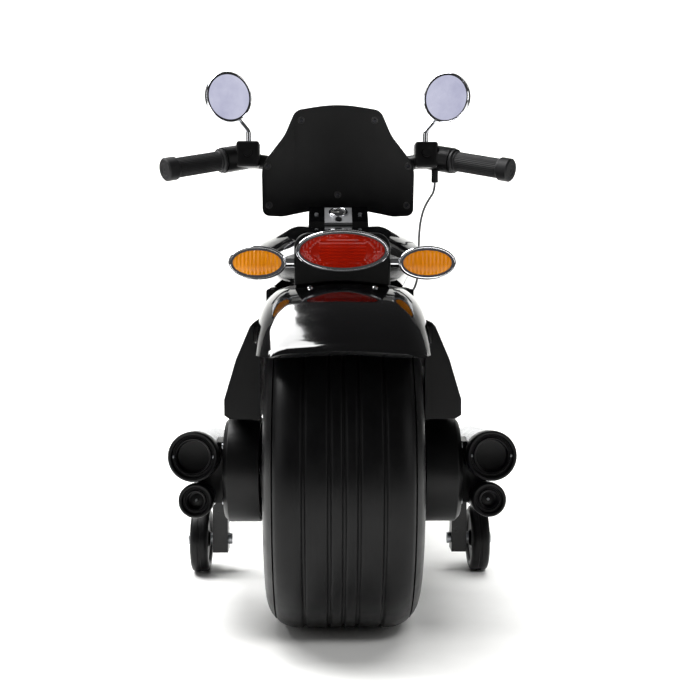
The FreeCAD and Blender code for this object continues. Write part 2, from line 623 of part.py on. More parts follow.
grommet_slot = rod("shell_grommet_slot", "grommet_neck_r + panel_gap", "2 * shell_half_width",
                   ("0", "rear_y + grommet_ahead", "grommet_z"))
body_shell_right = node(cut("body_shell_right", shell_right, grommet_slot), "body_shell_right")
socket_slot = rod("shell_socket_slot", "socket_r + panel_gap", "2 * shell_half_width",
                  ("-2 * shell_half_width", "rear_y + socket_ahead", "socket_z"))
body_shell_left = node(cut("body_shell_left", mirrored("shell_left_cut", shell_right), socket_slot),
                       "body_shell_left")

# Tank: a hollow shell that widens towards the front, with the console on its top
# Each station: its share of the length, narrower by, widest line and top lower by, foot narrower by,
# flank's radius and how far the top is inside the flank
TANK_STATIONS = ((0, 49, 44, 52, 32, 10, 50), (0.21, 15, 20, 29, 12, 16, 46), (0.52, 0, 4, 10, 0, 16, 52),
                 (0.8, 7, 2, 2, 2, 22, 58), (1, 41, 10, 4, 32, 18, 56))


def tank_section(y, half, wide_z, top, top_z, base, base_z, round_r, base_r):
    """One cross-section of the tank, widest above its middle."""
    corners = [point(-base, y, base_z), point(base, y, base_z), point(half, y, wide_z), point(top, y,
                                                                                              top_z),
               point(-top, y, top_z), point(-half, y, wide_z)]
    top_r = size.tank_top_r - (size.tank_round_base - base_r)
    return rounded_wire(corners, [base_r, base_r, round_r, top_r, top_r, round_r])


outer, inner = [], []
wall = size.tank_wall
base_z = size.shell_top_z + size.panel_gap
base_r = size.tank_round_base
open_foot = 3 * wall
for share, narrow, wide_drop, top_drop, base_narrow, round_r, top_inset in TANK_STATIONS:
    half, base = size.tank_half_width - narrow, size.tank_base_half_width - base_narrow
    wide_z, top_z = size.tank_wide_z - wide_drop, size.tank_top_z - top_drop
    y = size.rear_y + size.tank_rear + (size.tank_front - size.tank_rear) * share
    top = half - top_inset
    outer.append(tank_section(y, half, wide_z, top, top_z, base, base_z, round_r, base_r))
    y += {0: wall, 1: -wall}.get(share, 0)
    inside_base = base - wall - open_foot * (half - base) / (wide_z - base_z)
    inner.append(tank_section(y, half - wall, wide_z, top - wall, top_z - wall, inside_base,
                              base_z - open_foot, round_r - wall, base_r - wall))
tank_hollow = shaped("tank_hollow", section_loft(outer).cut(section_loft(inner)))


def console_wedge(name, width, start_x, rise):
    """A block on the tank whose upper face leans towards the rider."""
    rear, front = "rear_y + plate_rear", "rear_y + plate_rear + plate_length * cos(plate_tilt)"
    low, high = "plate_rear_z + " + rise, "plate_rear_z + plate_length * sin(plate_tilt) + " + rise
    sunk = "plate_rear_z - console_sink"
    return pad(name, "YZ_Plane", [(rear, sunk), (front + " + plate_thickness", sunk),
                                  (front + " + plate_thickness", high), (front, high), (rear, low)],
               width, (start_x, "0", "0"))


plate_side = "plate_width / 2 + seat_gap"
tank_solid = fuse("tank_solid", tank_hollow,
                  console_wedge("console_middle", "2 * (%s)" % plate_side, "-(%s)" % plate_side, "0"),
                  console_wedge("console_rail_right", "rail_width", plate_side,
                                "plate_thickness + rail_rise"),
                  console_wedge("console_rail_left", "rail_width", "-(%s) - rail_width" % plate_side,
                                "plate_thickness + rail_rise"))
plate_turn = FreeCAD.Rotation(X, size.plate_tilt)


def on_plate(x, along, above):
    """The place of a point across, up along and above the console plate's foot."""
    return (x, "rear_y + plate_rear + (%s) * cos(plate_tilt) - (%s) * sin(plate_tilt)" % (along, above),
            "plate_rear_z + (%s) * sin(plate_tilt) + (%s) * cos(plate_tilt)" % (along, above))


def plate_rod(name, radius, length, x, along, above):
    """A round bar square to the console plate."""
    item = doc.addObject("Part::Cylinder", name)
    bind(item, Radius=radius, Height=length)
    item.Placement.Rotation = plate_turn
    return put(item, *on_plate(x, along, above))


button_along = "power_button_r + 4"
button_pocket = plate_rod("button_pocket", "power_button_r + panel_gap", "button_height + 1", "0",
                          button_along,
                          "-button_height")
node(cut("tank_shell", tank_solid, button_pocket), "tank_shell")
plate = doc.addObject("Part::Box", "plate_blank")
bind(plate, Length="plate_width", Width="plate_length", Height="plate_thickness")
plate.Placement.Rotation = plate_turn
put(plate, *on_plate("-plate_width / 2", "0", "0"))
plate_hole = plate_rod("plate_hole", "power_button_r + running_clearance", "plate_thickness + 2", "0",
                       button_along, "-1")
node(cut("console_plate", plate, plate_hole), "console_plate")
node(plate_rod("power_button", "power_button_r", "button_height + plate_thickness - 1", "0", button_along,
               "button_travel - button_height + 1"), "power_button")

# Seat cushion: crowned, drawn in at its foot, rising towards the tank
seat_rear_y = size.tail_rear_y + size.tail_length + size.panel_gap
seat_front_y = size.rear_y + size.tank_rear - size.panel_gap - size.seat_front_gap
# Each station: its share of the length, narrower by and lower by
SEAT_STATIONS = ((0, 30, 16), (0.16, 6, 2), (0.45, 0, 0), (0.72, 8, -2), (1, 26, -size.seat_front_rise))
# Radii at the foot, waist, top edge and crown, right round the section
SEAT_RADII = (2, 2, 4, 6, 60, 6, 4)
sections = []
for share, narrow, lower in SEAT_STATIONS:
    y = seat_rear_y + (seat_front_y - seat_rear_y) * share
    half, top = size.seat_half_width - narrow, size.seat_z + size.seat_thickness - lower
    foot, edge = half - size.seat_foot_inset, half - size.seat_top_inset
    waist_z, edge_z = size.seat_z + size.seat_waist, top - size.seat_crown
    corners = [point(-foot, y, size.seat_z), point(foot, y, size.seat_z), point(half, y, waist_z),
               point(edge, y, edge_z), point(0, y, top), point(-edge, y, edge_z), point(-half, y, waist_z)]
    sections.append(rounded_wire(corners, SEAT_RADII))
node(shaped("seat_cushion", section_loft(sections)), "seat_cushion")


# Rear fender: a domed arch with a flared lip at its rear end
def fender_slice(radius, half, wall, side, crown, crown_r, shoulder, start, stop, centre):
    """A stretch of a domed mudguard round a wheel's axle, between two angles from straight ahead."""
    corners = [point(-half, radius - side, 0), point(-half, radius - crown, 0), point(0, radius, 0),
               point(half, radius - crown, 0), point(half, radius - side, 0), point(half - wall,
                                                                                    radius - side, 0),
               point(half - wall, radius - crown - wall, 0), point(0, radius - wall, 0),
               point(wall - half, radius - crown - wall, 0), point(wall - half, radius - side, 0)]
    radii = [0, shoulder, crown_r, shoulder, 0, 0, shoulder - wall, crown_r, shoulder - wall, 0]
    face = Part.Face(rounded_wire(corners, radii))
    face.rotate(point(0, 0, 0), X, start)
    arch = face.revolve(point(0, 0, 0), X, stop - start)
    arch.translate(centre)
    return arch


half = size.fender_width / 2
arch = fender_slice(size.fender_r, half, size.fender_wall, size.fender_side, size.fender_crown,
                    size.fender_crown_r, size.fender_shoulder_r, size.fender_front_angle,
                    size.fender_rear_angle,
                    rear_centre)
lip = fender_slice(size.fender_r + size.fender_lip, half + size.fender_lip,
                   size.fender_wall + size.fender_lip,
                   size.fender_side + size.fender_lip, size.fender_crown, size.fender_crown_r,
                   size.fender_shoulder_r,
                   size.fender_rear_angle - size.lip_angle, size.fender_rear_angle, rear_centre)
lip_rise = math.sin(math.radians(size.fender_rear_angle))
lip_z = size.rear_tyre_r + (size.fender_r - size.fender_crown) * lip_rise
below_lip = Part.makeBox(2 * size.fender_width, 2 * size.fender_r, lip_z,
                         rear_centre - point(size.fender_width, 2 * size.fender_r, size.rear_tyre_r))
node(shaped("rear_fender", arch.fuse(lip).removeSplitter().cut(below_lip)), "rear_fender")

# Tail: a lamp housing saddled on the fender, with lamps in chrome bezels
tail_half = size.tail_width / 2
tail_top = size.tail_base_z + size.tail_height
tail_corners = [point(-tail_half, 0, size.tail_base_z), point(tail_half, 0, size.tail_base_z),
                point(tail_half, 0, tail_top), point(-tail_half, 0, tail_top)]
tail_face = Part.Face(rounded_wire(tail_corners, [size.tail_foot_r, size.tail_foot_r, size.tail_corner_r,
                                                 size.tail_corner_r]))
tail_block = tail_face.extrude(Y * size.tail_length)
tail_block.translate(Y * size.tail_rear_y)
saddle_half, saddle_r = half + size.panel_gap, size.fender_r + size.panel_gap
edge_r = saddle_r - size.fender_crown
saddle_corners = [point(-saddle_half, 0, 0), point(-saddle_half, edge_r, 0), point(0, saddle_r, 0),
                  point(saddle_half, edge_r, 0), point(saddle_half, 0, 0)]
saddle_radii = [0, size.fender_shoulder_r, size.fender_crown_r, size.fender_shoulder_r, 0]
tail_saddle = revolved(rounded_wire(saddle_corners, saddle_radii), rear_centre)
node(shaped("tail_housing", tail_block.cut(tail_saddle)), "tail_housing")


def lamp_bezel(width, height, depth, floor, centre):
    """An elliptical cup whose mouth faces the rear."""
    wall = 2 * size.bezel_wall
    cup = ellipse_prism(width + wall, height + wall, depth, centre)
    hollow = ellipse_prism(width, height, depth, centre - Y * floor)
    return cup.cut(hollow)


def lamp_lens(width, height, depth, centre):
    """An elliptical lens with a rounded front edge."""
    gap = 2 * size.seat_gap
    lens = ellipse_prism(width - gap, height - gap, depth, centre)
    front = [edge for edge in lens.Edges if edge.BoundBox.YMax < centre.y - depth + 0.01]
    return lens.makeFillet(size.lens_round_r, front)


tail_lamp = point(0, size.tail_rear_y, size.tail_lens_z)
bezels = [shaped("tail_bezel", lamp_bezel(size.tail_lens_width, size.tail_lens_height, size.bezel_depth,
                                          0, tail_lamp))]
node(shaped("tail_lens", lamp_lens(size.tail_lens_width, size.tail_lens_height, size.tail_lens_depth,
                                   tail_lamp)),
     "tail_lens")
signal_back = point(size.signal_x, size.tail_rear_y + size.signal_depth - size.bezel_depth, size.signal_z)
cup = lamp_bezel(size.signal_width, size.signal_height, size.signal_depth,
                 size.signal_depth - size.bezel_depth,
                 signal_back)
stalk_length = size.signal_x - tail_half - size.signal_width / 2 + size.stalk_r
stalk_foot = point(tail_half, signal_back.y - size.stalk_r - 1, size.signal_z)
stalk = Part.makeCylinder(size.stalk_r, stalk_length, stalk_foot, X)
signal_right = shaped("signal_bezel_right", cup.fuse(stalk.cut(
    ellipse_prism(size.signal_width, size.signal_height, size.signal_depth, signal_back))).removeSplitter())
bezels += [signal_right, mirrored("signal_bezel_left", signal_right)]
node(group("lamp_bezels", *bezels), "lamp_bezels")
signal_seat = signal_back - Y * (size.signal_depth - size.bezel_depth)
lens_right = shaped("signal_lens_right", lamp_lens(size.signal_width, size.signal_height,
                                                   size.bezel_depth + 2,
                                                   signal_seat))
node(group("signal_lenses", lens_right, mirrored("signal_lens_left", lens_right)), "signal_lenses")


# Side covers: folded panels beside the fender, closed at the rear
def parallel_line(corners, inset):
    """A folded line moved sideways by an inset, on the XZ plane."""
    moved = []
    for index, corner in enumerate(corners):
        sides = []
        for first, last in ((index - 1, index), (index, index + 1)):
            if first >= 0 and last < len(corners):
                run = (corners[last] - corners[first]).normalize()
                sides.append(point(run.z, 0, -run.x))
        middle = sides[0] if len(sides) == 1 else (sides[0] + sides[1]).normalize()
        moved.append(corner + middle * (inset / middle.dot(sides[0])))
    return moved


cover_line = [point(size.ridge_x, 0, size.ridge_z), point(size.shoulder_x, 0, size.shoulder_z),
              point(size.flare_x, 0, size.flare_z), point(size.ledge_x, 0, size.ledge_z),
              point(size.ledge_x, 0, size.ledge_z - size.ledge_height),
              point(size.ledge_x - size.ledge_lip, 0, size.ledge_z - size.ledge_height - size.cover_wall)]
inside_line = parallel_line(cover_line, size.cover_wall)
folded = Part.Face(Part.makePolygon(cover_line + inside_line[::-1] + cover_line[:1]))
cover_rear_y = size.rear_y - size.cover_rear_reach
cover_length = size.cover_rear_reach + size.shell_rear - size.panel_gap
cover = folded.extrude(Y * cover_length)
end_x = size.cover_inner_x
fender_space = Part.makeBox(end_x, cover_length, size.seat_z,
                            point(0, size.seat_rail_y - cover_length - cover_rear_y, 0))
cover = cover.cut(fender_space)
tyre_x = size.rear_tyre_width / 2 + size.tyre_side_gap
skirt_r = size.fender_r - size.fender_side
skirt_z = size.rear_tyre_r + math.sqrt(skirt_r ** 2 - size.cover_rear_reach ** 2) - size.skirt_gap
ridge_slope = (size.ridge_z - size.shoulder_z) / (size.shoulder_x - size.ridge_x)
cover_foot_z = cover_line[-1].z
end_line = [point(tyre_x, 0, cover_foot_z), point(tyre_x, 0, skirt_z), point(end_x, 0, skirt_z),
            point(end_x, 0, size.shoulder_z + (size.shoulder_x - end_x) * ridge_slope)] + cover_line[1:]
end_wall = Part.Face(Part.makePolygon(end_line + end_line[:1])).extrude(Y * size.cover_wall)
tyre_flange = Part.makeBox(size.cover_wall, size.flange_length, skirt_z - cover_foot_z,
                           point(tyre_x, 0, cover_foot_z))
cover = cover.fuse([end_wall, tyre_flange])
cover.translate(Y * cover_rear_y)
cover_right = shaped("side_cover_right", cover.removeSplitter())
node(cover_right, "side_cover_right")
node(mirrored("side_cover_left", cover_right), "side_cover_left")

# Exhausts: two stacked silencers on each side, each with a stepped tip
slope = math.radians(size.exhaust_slope)
exhaust_turn = FreeCAD.Rotation(X, point(0, math.cos(slope), -math.sin(slope)))
upper_place = ("exhaust_x", "rear_y - exhaust_rear", "exhaust_z")
lower_place = ("pipe_x", "rear_y - exhaust_rear + pipe_set_in", "pipe_z")


def silencer(name, radius, front, length, place):
    """A hollow round body behind a tip, tapered at its front end."""
    return lathe(name, [("tip_length", "exhaust_bore"), ("tip_length", radius),
                        (length + " - taper_length", radius), (length, front), (length, "exhaust_bore")],
                 place, exhaust_turn)


def exhaust_tip(name, radius, place):
    """A ring with a recessed end disc."""
    return lathe(name, [("0", radius + " - tip_rim"), ("0", radius), ("tip_length", radius),
                        ("tip_length", "tip_bore"), ("tip_recess", "tip_bore"),
                        ("tip_recess", radius + " - tip_rim")], place, exhaust_turn)


muffler_right = group("muffler_right",
                      silencer("muffler_body", "muffler_r", "muffler_front_r", "muffler_length",
                               upper_place),
                      silencer("pipe_body", "pipe_r", "pipe_r - taper_depth", "pipe_length", lower_place))
node(muffler_right, "muffler_right")
node(mirrored("muffler_left", muffler_right), "muffler_left")
tips = [exhaust_tip("tip_upper", "tip_r", upper_place), exhaust_tip("tip_lower", "pipe_tip_r", lower_place)]
node(group("exhaust_tips", *tips, *[mirrored(tip.Name + "_left", tip) for tip in tips]), "exhaust_tips")


def silencer_space(name, radius, place):
    """The room that a silencer takes in its hanger."""
    outline = [("0", "0"), ("0", radius + " + seat_gap"), ("pipe_length", radius + " + seat_gap"),
               ("pipe_length", "0")]
    return lathe(name, outline, place, exhaust_turn)


# Drum covers: a round cap outside each arm, with a hanger that carries the silencers
hanger_blank = block("hanger_blank", ("exhaust_out", "hanger_length",
                                      "exhaust_z - pipe_z + 2 * hanger_lap"),
                     ("drum_outer_x", "rear_y - hanger_length / 2", "pipe_z - hanger_lap"))
hanger = cut("exhaust_hanger", hanger_blank, silencer_space("muffler_space", "muffler_r", upper_place),
             silencer_space("pipe_space", "pipe_r", lower_place))
drum_right = fuse("drum_cover_right", drum_turned, hanger)
node(drum_right, "drum_cover_right")
node(mirrored("drum_cover_left", drum_right), "drum_cover_left")

# Stabilisers: a bracket, bolt and small wheel on each side
bracket_y = "stabiliser_y - bracket_depth / 2"
bracket_bar = block("bracket_bar", ("bracket_x + bracket_width - arm_outer_x", "bracket_depth",
                                    "bracket_bar"),
                    ("arm_outer_x", bracket_y, "bracket_bar_z"))
bracket_leg = block("bracket_leg", ("bracket_width", "bracket_depth",
                                    "bracket_bar_z + bracket_bar - stabiliser_r + bracket_foot"),
                    ("bracket_x", bracket_y, "stabiliser_r - bracket_foot"))
bolt_line = ("stabiliser_y", "stabiliser_r")
bracket_bore = rod("bracket_bore", "stabiliser_bolt_r + running_clearance", "bracket_width + 2",
                   ("bracket_x - 1",) + bolt_line)
bracket_right = cut("bracket_right", fuse("bracket_blank", bracket_bar, bracket_leg), bracket_bore)
node(group("stabiliser_brackets", bracket_right, mirrored("bracket_left", bracket_right)),
     "stabiliser_brackets")
wheel_out = "(stabiliser_x + stabiliser_width / 2 + seat_gap)"
bolt_right = fuse(
    "bolt_right",
    rod("bolt_shank", "stabiliser_bolt_r", wheel_out + " - bracket_x", ("bracket_x",) + bolt_line),
    rod("bolt_nut", "nut_r", "nut_height", ("bracket_x - nut_height",) + bolt_line),
    rod("bolt_spacer", "nut_r",
        "stabiliser_x - stabiliser_width / 2 - seat_gap - bracket_x - bracket_width",
        ("bracket_x + bracket_width",) + bolt_line),
    rod("bolt_head", "nut_r", "nut_height", (wheel_out,) + bolt_line))
node(group("stabiliser_bolts", bolt_right, mirrored("bolt_left", bolt_right)), "stabiliser_bolts")
wheel_half, wheel_edge = "stabiliser_width / 2", "stabiliser_width / 2 - stabiliser_round"
wheel_bore = "stabiliser_bolt_r + running_clearance"
stabiliser_right = lathe("stabiliser_wheel_right", [
    ("-" + wheel_half, wheel_bore), (wheel_half, wheel_bore),
    (wheel_half, "stabiliser_r - stabiliser_round"), (wheel_edge, "stabiliser_r"),
    ("-(%s)" % wheel_edge, "stabiliser_r"), ("-" + wheel_half, "stabiliser_r - stabiliser_round")],
    ("stabiliser_x",) + bolt_line)
node(stabiliser_right, "stabiliser_wheel_right")
node(mirrored("stabiliser_wheel_left", stabiliser_right), "stabiliser_wheel_left")

# Footrests, battery, control box and charging socket
peg_line = ("rear_y + peg_ahead", "floor_z + floor_height / 2")
peg_right = fuse("peg_right",
                 rod("peg_bar", "peg_r", "peg_reach - floor_half_width", ("floor_half_width",) + peg_line),
                 rod("peg_end", "peg_r + peg_flange", "peg_flange", ("peg_reach - peg_flange",) + peg_line))
node(group("footrests", peg_right, mirrored("peg_left", peg_right)), "footrests")
battery_y = "rear_y + frame_rear + cross_length + battery_space"
node(block("battery", ("battery_width", "battery_length", "battery_height"),
           ("-battery_width / 2", battery_y, "floor_top_z")), "battery")
node(block("control_box", ("control_width", "control_length", "control_height"),
           ("-control_width / 2", battery_y + " + battery_length + battery_space", "floor_top_z")),
           "control_box")
socket_line = ("rear_y + socket_ahead", "socket_z")
socket_face = "-shell_half_width - panel_gap - socket_flange_depth"
socket_blank = fuse("socket_blank",
                    rod("socket_body", "socket_r", "socket_depth",
                        ("-shell_half_width - panel_gap",) + socket_line),
                    rod("socket_flange", "socket_r + socket_flange", "socket_flange_depth + 1",
                        (socket_face,) + socket_line))
plug_bore = rod("plug_bore", "plug_r", "plug_depth", (socket_face,) + socket_line)
node(cut("charge_socket", socket_blank, plug_bore, body_shell_left), "charge_socket")

# Screws on the drum covers and the console rails
screws = []
for turn in range(4):
    angle = "%d * 1deg" % (45 + 90 * turn)
    screw = rod("drum_screw_%d" % turn, "screw_r", "screw_height",
                ("drum_outer_x", "rear_y + drum_screw_circle * cos(%s)" % angle,
                 "rear_tyre_r + drum_screw_circle * sin(%s)" % angle))
    screws += [screw, mirrored("drum_screw_left_%d" % turn, screw)]
rail_screw = plate_rod("rail_screw", "screw_r", "screw_height", plate_side + " + rail_width / 2",
                       "plate_length / 2", "(plate_thickness + rail_rise) * cos(plate_tilt)")
screws += [rail_screw, mirrored("rail_screw_left", rail_screw)]
node(group("cover_screws", *screws), "cover_screws")

# Steering: stem with lower crown, upper yoke and riser, and two fork legs
legs, leg_holes = [], []
for name, side in (("leg_right", "fork_half_spacing"), ("leg_left", "-fork_half_spacing")):
    leg = steer_rod(name + "_bar", "fork_leg_r", "yoke_at + yoke_height + 2 * leg_overhang", side,
                    "fork_offset",
                    "-leg_foot")
    axle_hole = rod(name + "_hole", "front_axle_r + running_clearance", "4 * fork_leg_r",
                    (side + " - 2 * fork_leg_r", "front_y", "front_tyre_r"))
    legs.append(cut(name, leg, axle_hole))
    leg_holes.append(steer_rod(name + "_seat", "fork_leg_r + seat_gap", "yoke_at + 2 * yoke_height", side,
                               "fork_offset", "crown_at / 2"))
node(group("fork_legs", *legs), "fork_legs")
plate_ahead = "fork_offset + fork_leg_r + yoke_margin"
stem_blank = fuse(
    "stem_blank",
    steer_rod("stem_bar", "stem_r", "yoke_at + yoke_height - crown_at", "0", "0", "crown_at"),
    steer_block("crown", ("2 * yoke_half_width", plate_ahead + " + stem_r", "crown_height"),
                "-yoke_half_width",
                "-stem_r", "crown_at"),
    steer_block("yoke", ("2 * yoke_half_width", plate_ahead + " + stem_r", "yoke_height"),
                "-yoke_half_width",
                "-stem_r", "yoke_at"),
    steer_block("riser", ("2 * riser_half_width", "2 * riser_half_depth",
                          "bar_at + riser_half_depth - yoke_at"),
                "-riser_half_width", "bar_ahead - riser_half_depth", "yoke_at"))
bar_place = steered("0", "bar_ahead", "bar_at")
bar_seat = rod("bar_seat", "bar_r + seat_gap", "2 * riser_half_width + 2",
               ("-riser_half_width - 1",) + bar_place[1:])
node(cut("steering_stem", stem_blank, bar_seat, *leg_holes), "steering_stem")
node(rod("front_axle", "front_axle_r", "2 * (fork_half_spacing + fork_leg_r + axle_overhang)",
         ("-fork_half_spacing - fork_leg_r - axle_overhang", "front_y", "front_tyre_r")), "front_axle")
node(shaped("front_fender", fender_slice(
    size.front_fender_r, size.front_fender_half, size.front_fender_wall, size.front_fender_side,
    size.front_fender_crown, size.front_crown_r, size.front_fender_shoulder_r, size.front_fender_front,
    size.front_fender_rear, front_centre)), "front_fender")

# Handlebar: one bent tube through the riser
bar_centre = point(*[number_of(words) for words in bar_place])


def bar_point(x, back, rise):
    """A point of the handlebar's line, from the middle of its clamp."""
    return bar_centre + point(x, -back, rise)


end_back = size.bar_shoulder_back + size.bar_end_back
end_rise = size.bar_shoulder_rise - size.bar_end_drop
half_line = [bar_point(size.bar_inner_x, 0, 0),
             bar_point(size.bar_shoulder_x, size.bar_shoulder_back, size.bar_shoulder_rise),
             bar_point(size.bar_end_x, end_back, end_rise)]
bar_line = [point(-corner.x, corner.y, corner.z) for corner in half_line[::-1]] + half_line
bar_path = rounded_wire(bar_line, [size.bar_bend_r] * len(bar_line), closed=False)
node(shaped("handlebar", tube(bar_path, size.bar_r)), "handlebar")
bar_space = tube(bar_path, size.bar_r + size.seat_gap)
grip_way = (half_line[2] - half_line[1]).normalize()


def mirror_x(shape):
    """The same shape on the other side of the bike."""
    return shape.mirror(point(0, 0, 0), X)


def grip(name, clearance):
    """A hand grip with a flange at each end, built along the right bar end."""
    bore = "bar_r + " + clearance
    body = lathe(name, [("0", bore), ("grip_length - grip_cap", bore), ("grip_length - grip_cap",
                                                                        "grip_vent_r"),
                        ("grip_length", "grip_vent_r"), ("grip_length", "grip_end_r"),
                        ("grip_length - grip_end_length", "grip_end_r"),
                        ("grip_length - grip_end_length", "grip_r"), ("grip_flange", "grip_r"),
                        ("grip_flange", "grip_flange_r"), ("0", "grip_flange_r")],
                 turn=FreeCAD.Rotation(X, grip_way))
    start = half_line[2] - grip_way * (size.grip_length - size.grip_cap - size.panel_gap)
    for letter in "xyz":
        body.setExpression("Placement.Base." + letter, None)
    body.Placement.Base = start
    return body


node(grip("throttle_grip", "running_clearance"), "throttle_grip")
node(mirrored("grip_left", grip("grip_left_blank", "seat_gap")), "grip_left")


def switch_box(side_x, with_gland):
    """A control box round the bar, with its collar, button pocket and mirror socket, on the right side."""
    share = (side_x - half_line[0].x) / (half_line[1].x - half_line[0].x)
    middle = half_line[0] + (half_line[1] - half_line[0]) * share
    corner = middle + point(-size.switch_width / 2, -size.switch_back, -size.switch_below)
    box = Part.makeBox(size.switch_width, size.switch_depth, size.switch_height, corner)
    box = box.makeFillet(size.switch_round_r, box.Edges)
    collar_start = half_line[1] - grip_way * size.collar_overlap
    grip_start = (half_line[2] - half_line[1]).Length - (size.grip_length - size.grip_cap - size.panel_gap)
    collar_length = size.collar_overlap + grip_start - size.collar_gap
    solid = box.fuse(Part.makeCylinder(size.collar_r, collar_length, collar_start, grip_way))
    if with_gland:
        solid = solid.fuse(Part.makeCylinder(size.gland_r, size.gland_length, gland_foot, Z))
    button_centre = point(middle.x, corner.y, middle.z + size.button_up)
    post_foot = point(middle.x, middle.y, corner.z + size.switch_height - size.post_depth)
    pocket = Part.makeCylinder(size.button_r + size.running_clearance,
                               size.button_height + size.button_travel + 1,
                               button_centre, Y)
    post_hole = Part.makeCylinder(size.mirror_stem_r + size.running_clearance, size.post_depth + 1,
                                  post_foot - Z * size.seat_gap, Z)
    return solid.cut(bar_space).cut(pocket).cut(post_hole).removeSplitter(), button_centre, post_foot


gland_foot = bar_point(size.gland_x, size.bar_shoulder_back, size.bar_shoulder_rise - size.gland_length)
box_right, button_right, post_right = switch_box(size.right_switch_x, True)
box_left, button_left, post_left = switch_box(size.left_switch_x, False)
node(shaped("switch_box_right", box_right), "switch_box_right")
node(shaped("switch_box_left", mirror_x(box_left)), "switch_box_left")


def button(centre):
    """A push button standing proud of the box's rear face."""
    start = centre - Y * (size.button_travel + 1)
    return Part.makeCylinder(size.button_r, size.button_height + size.button_travel, start, Y)


node(shaped("light_button", button(button_right)), "light_button")
node(shaped("horn_button", mirror_x(button(button_left))), "horn_button")


# Mirrors: a round shell on a bent stem, and its glass
def mirror_shapes(post_foot):
    """The arm with its shell, and the glass, on the right side."""
    centre = point(size.mirror_x, post_foot.y - size.mirror_back, bar_centre.z + size.mirror_rise)
    shell = Part.makeCylinder(size.mirror_r, size.mirror_depth, centre, Y * -1)
    back = [edge for edge in shell.Edges if edge.BoundBox.YMin > centre.y - 0.01]
    shell = shell.makeFillet(size.mirror_round_r, back)
    front = centre - Y * size.mirror_depth
    recess = Part.makeCylinder(size.mirror_r - size.mirror_rim, size.mirror_glass + size.seat_gap, front, Y)
    glass = Part.makeCylinder(size.mirror_r - size.mirror_rim - size.seat_gap, size.mirror_glass, front, Y)
    for turned in (shell, recess, glass):
        turned.rotate(centre, Z, -size.mirror_turn)
    away = FreeCAD.Rotation(Z, -size.mirror_turn).multVec(Y)
    knee = post_foot + Z * (size.post_depth + size.mirror_post)
    stem_line = [post_foot, knee, centre + away * size.mirror_standoff, centre - away * size.mirror_stem_r]
    stem = tube(rounded_wire(stem_line, [0, size.stem_bend_r, size.stem_bend_r / 2, 0], closed=False),
                size.mirror_stem_r)
    return shell.fuse(stem).cut(recess).removeSplitter(), glass


arm_right, glass_right = mirror_shapes(post_right)
arm_left, glass_left = mirror_shapes(post_left)
node(shaped("mirror_arm_right", arm_right), "mirror_arm_right")
node(shaped("mirror_glass_right", glass_right), "mirror_glass_right")
node(shaped("mirror_arm_left", mirror_x(arm_left)), "mirror_arm_left")
node(shaped("mirror_glass_left", mirror_x(glass_left)), "mirror_glass_left")

# Fairing: a curved rear panel screwed to a front shell that holds the headlight
fairing_foot = bar_centre - point(0, size.fairing_back, size.fairing_drop)


def fairing_outline(inset, y):
    """The fairing's outline at a depth, drawn in by an inset."""
    half, top, bottom = size.fairing_half_width - inset, size.fairing_height - inset, inset
    side = [(half - size.fairing_foot_inset, bottom), (half, bottom + size.fairing_foot_rise),
            (half, size.fairing_shoulder_z),
            (size.fairing_waist_half - inset, size.fairing_waist_z - inset / 2),
            (size.fairing_top_half - inset, top - size.fairing_top_drop)]
    right = [point(x, y, z) for x, z in side]
    left = [point(-x, y, z) for x, z in side[::-1]]
    corners = right + [point(0, y, top)] + left + [point(0, y, bottom + size.fairing_arch)]
    radii = [size.fairing_foot_r, size.fairing_corner_r, size.fairing_shoulder_r, size.fairing_waist_r,
             size.fairing_top_r]
    top_bow_r = (size.fairing_top_half - inset) ** 2 / size.fairing_top_drop / 2
    return rounded_wire(corners, radii + [top_bow_r] + radii[::-1] + [size.fairing_arch_r])


def place_fairing(shape):
    """Lean a fairing piece back and set it at its foot."""
    shape.rotate(point(0, 0, 0), X, size.fairing_tilt)
    shape.translate(fairing_foot)
    return shape


def fairing_bow(radius):
    """The upright cylinder that the panel is bent to."""
    height = 2 * size.fairing_height
    return Part.makeCylinder(radius, height, point(0, -size.fairing_curve_r, -size.fairing_height / 2), Z)


sweep = size.fairing_depth
prism = Part.Face(fairing_outline(0, -sweep)).extrude(Y * (2 * sweep))
bow_outside = fairing_bow(size.fairing_curve_r + size.fairing_wall)
panel = prism.common(bow_outside.cut(fairing_bow(size.fairing_curve_r)))
node(shaped("fairing_panel", place_fairing(panel)), "fairing_panel")


def cowl(inset, front):
    """A closed cowl from well behind the panel to its front face."""
    return Part.makeLoft([fairing_outline(inset, -sweep), fairing_outline(inset, size.cowl_break),
                          fairing_outline(inset + size.cowl_taper, front)], True, True)


cowl_shell = cowl(size.cowl_inset, sweep).cut(cowl(size.cowl_inset + size.fairing_wall,
                                                   sweep - size.fairing_wall))
panel_space = fairing_bow(size.fairing_curve_r + size.fairing_wall + size.panel_gap)
cowl_shell = place_fairing(cowl_shell.cut(panel_space))
cowl_shell = cowl_shell.cut(tube(bar_path, size.bar_r + size.cowl_bar_gap))
riser_space = Part.makeBox(2 * size.riser_half_width + 4, 2 * sweep, size.fairing_drop)
riser_space.translate(fairing_foot + point(-size.riser_half_width - 2, 0, -size.fairing_drop / 3))
node(shaped("fairing_shell", cowl_shell.cut(riser_space)), "fairing_shell")
lamp = Part.makeCylinder(size.headlight_r, size.headlight_depth, point(0, sweep, size.headlight_up), Y)
lamp_edge = [edge for edge in lamp.Edges if edge.BoundBox.YMin > sweep + size.headlight_depth - 0.01]
node(shaped("headlight", place_fairing(lamp.makeFillet(size.headlight_round_r, lamp_edge))), "headlight")
screw_places = [(0, size.middle_screw_z)]
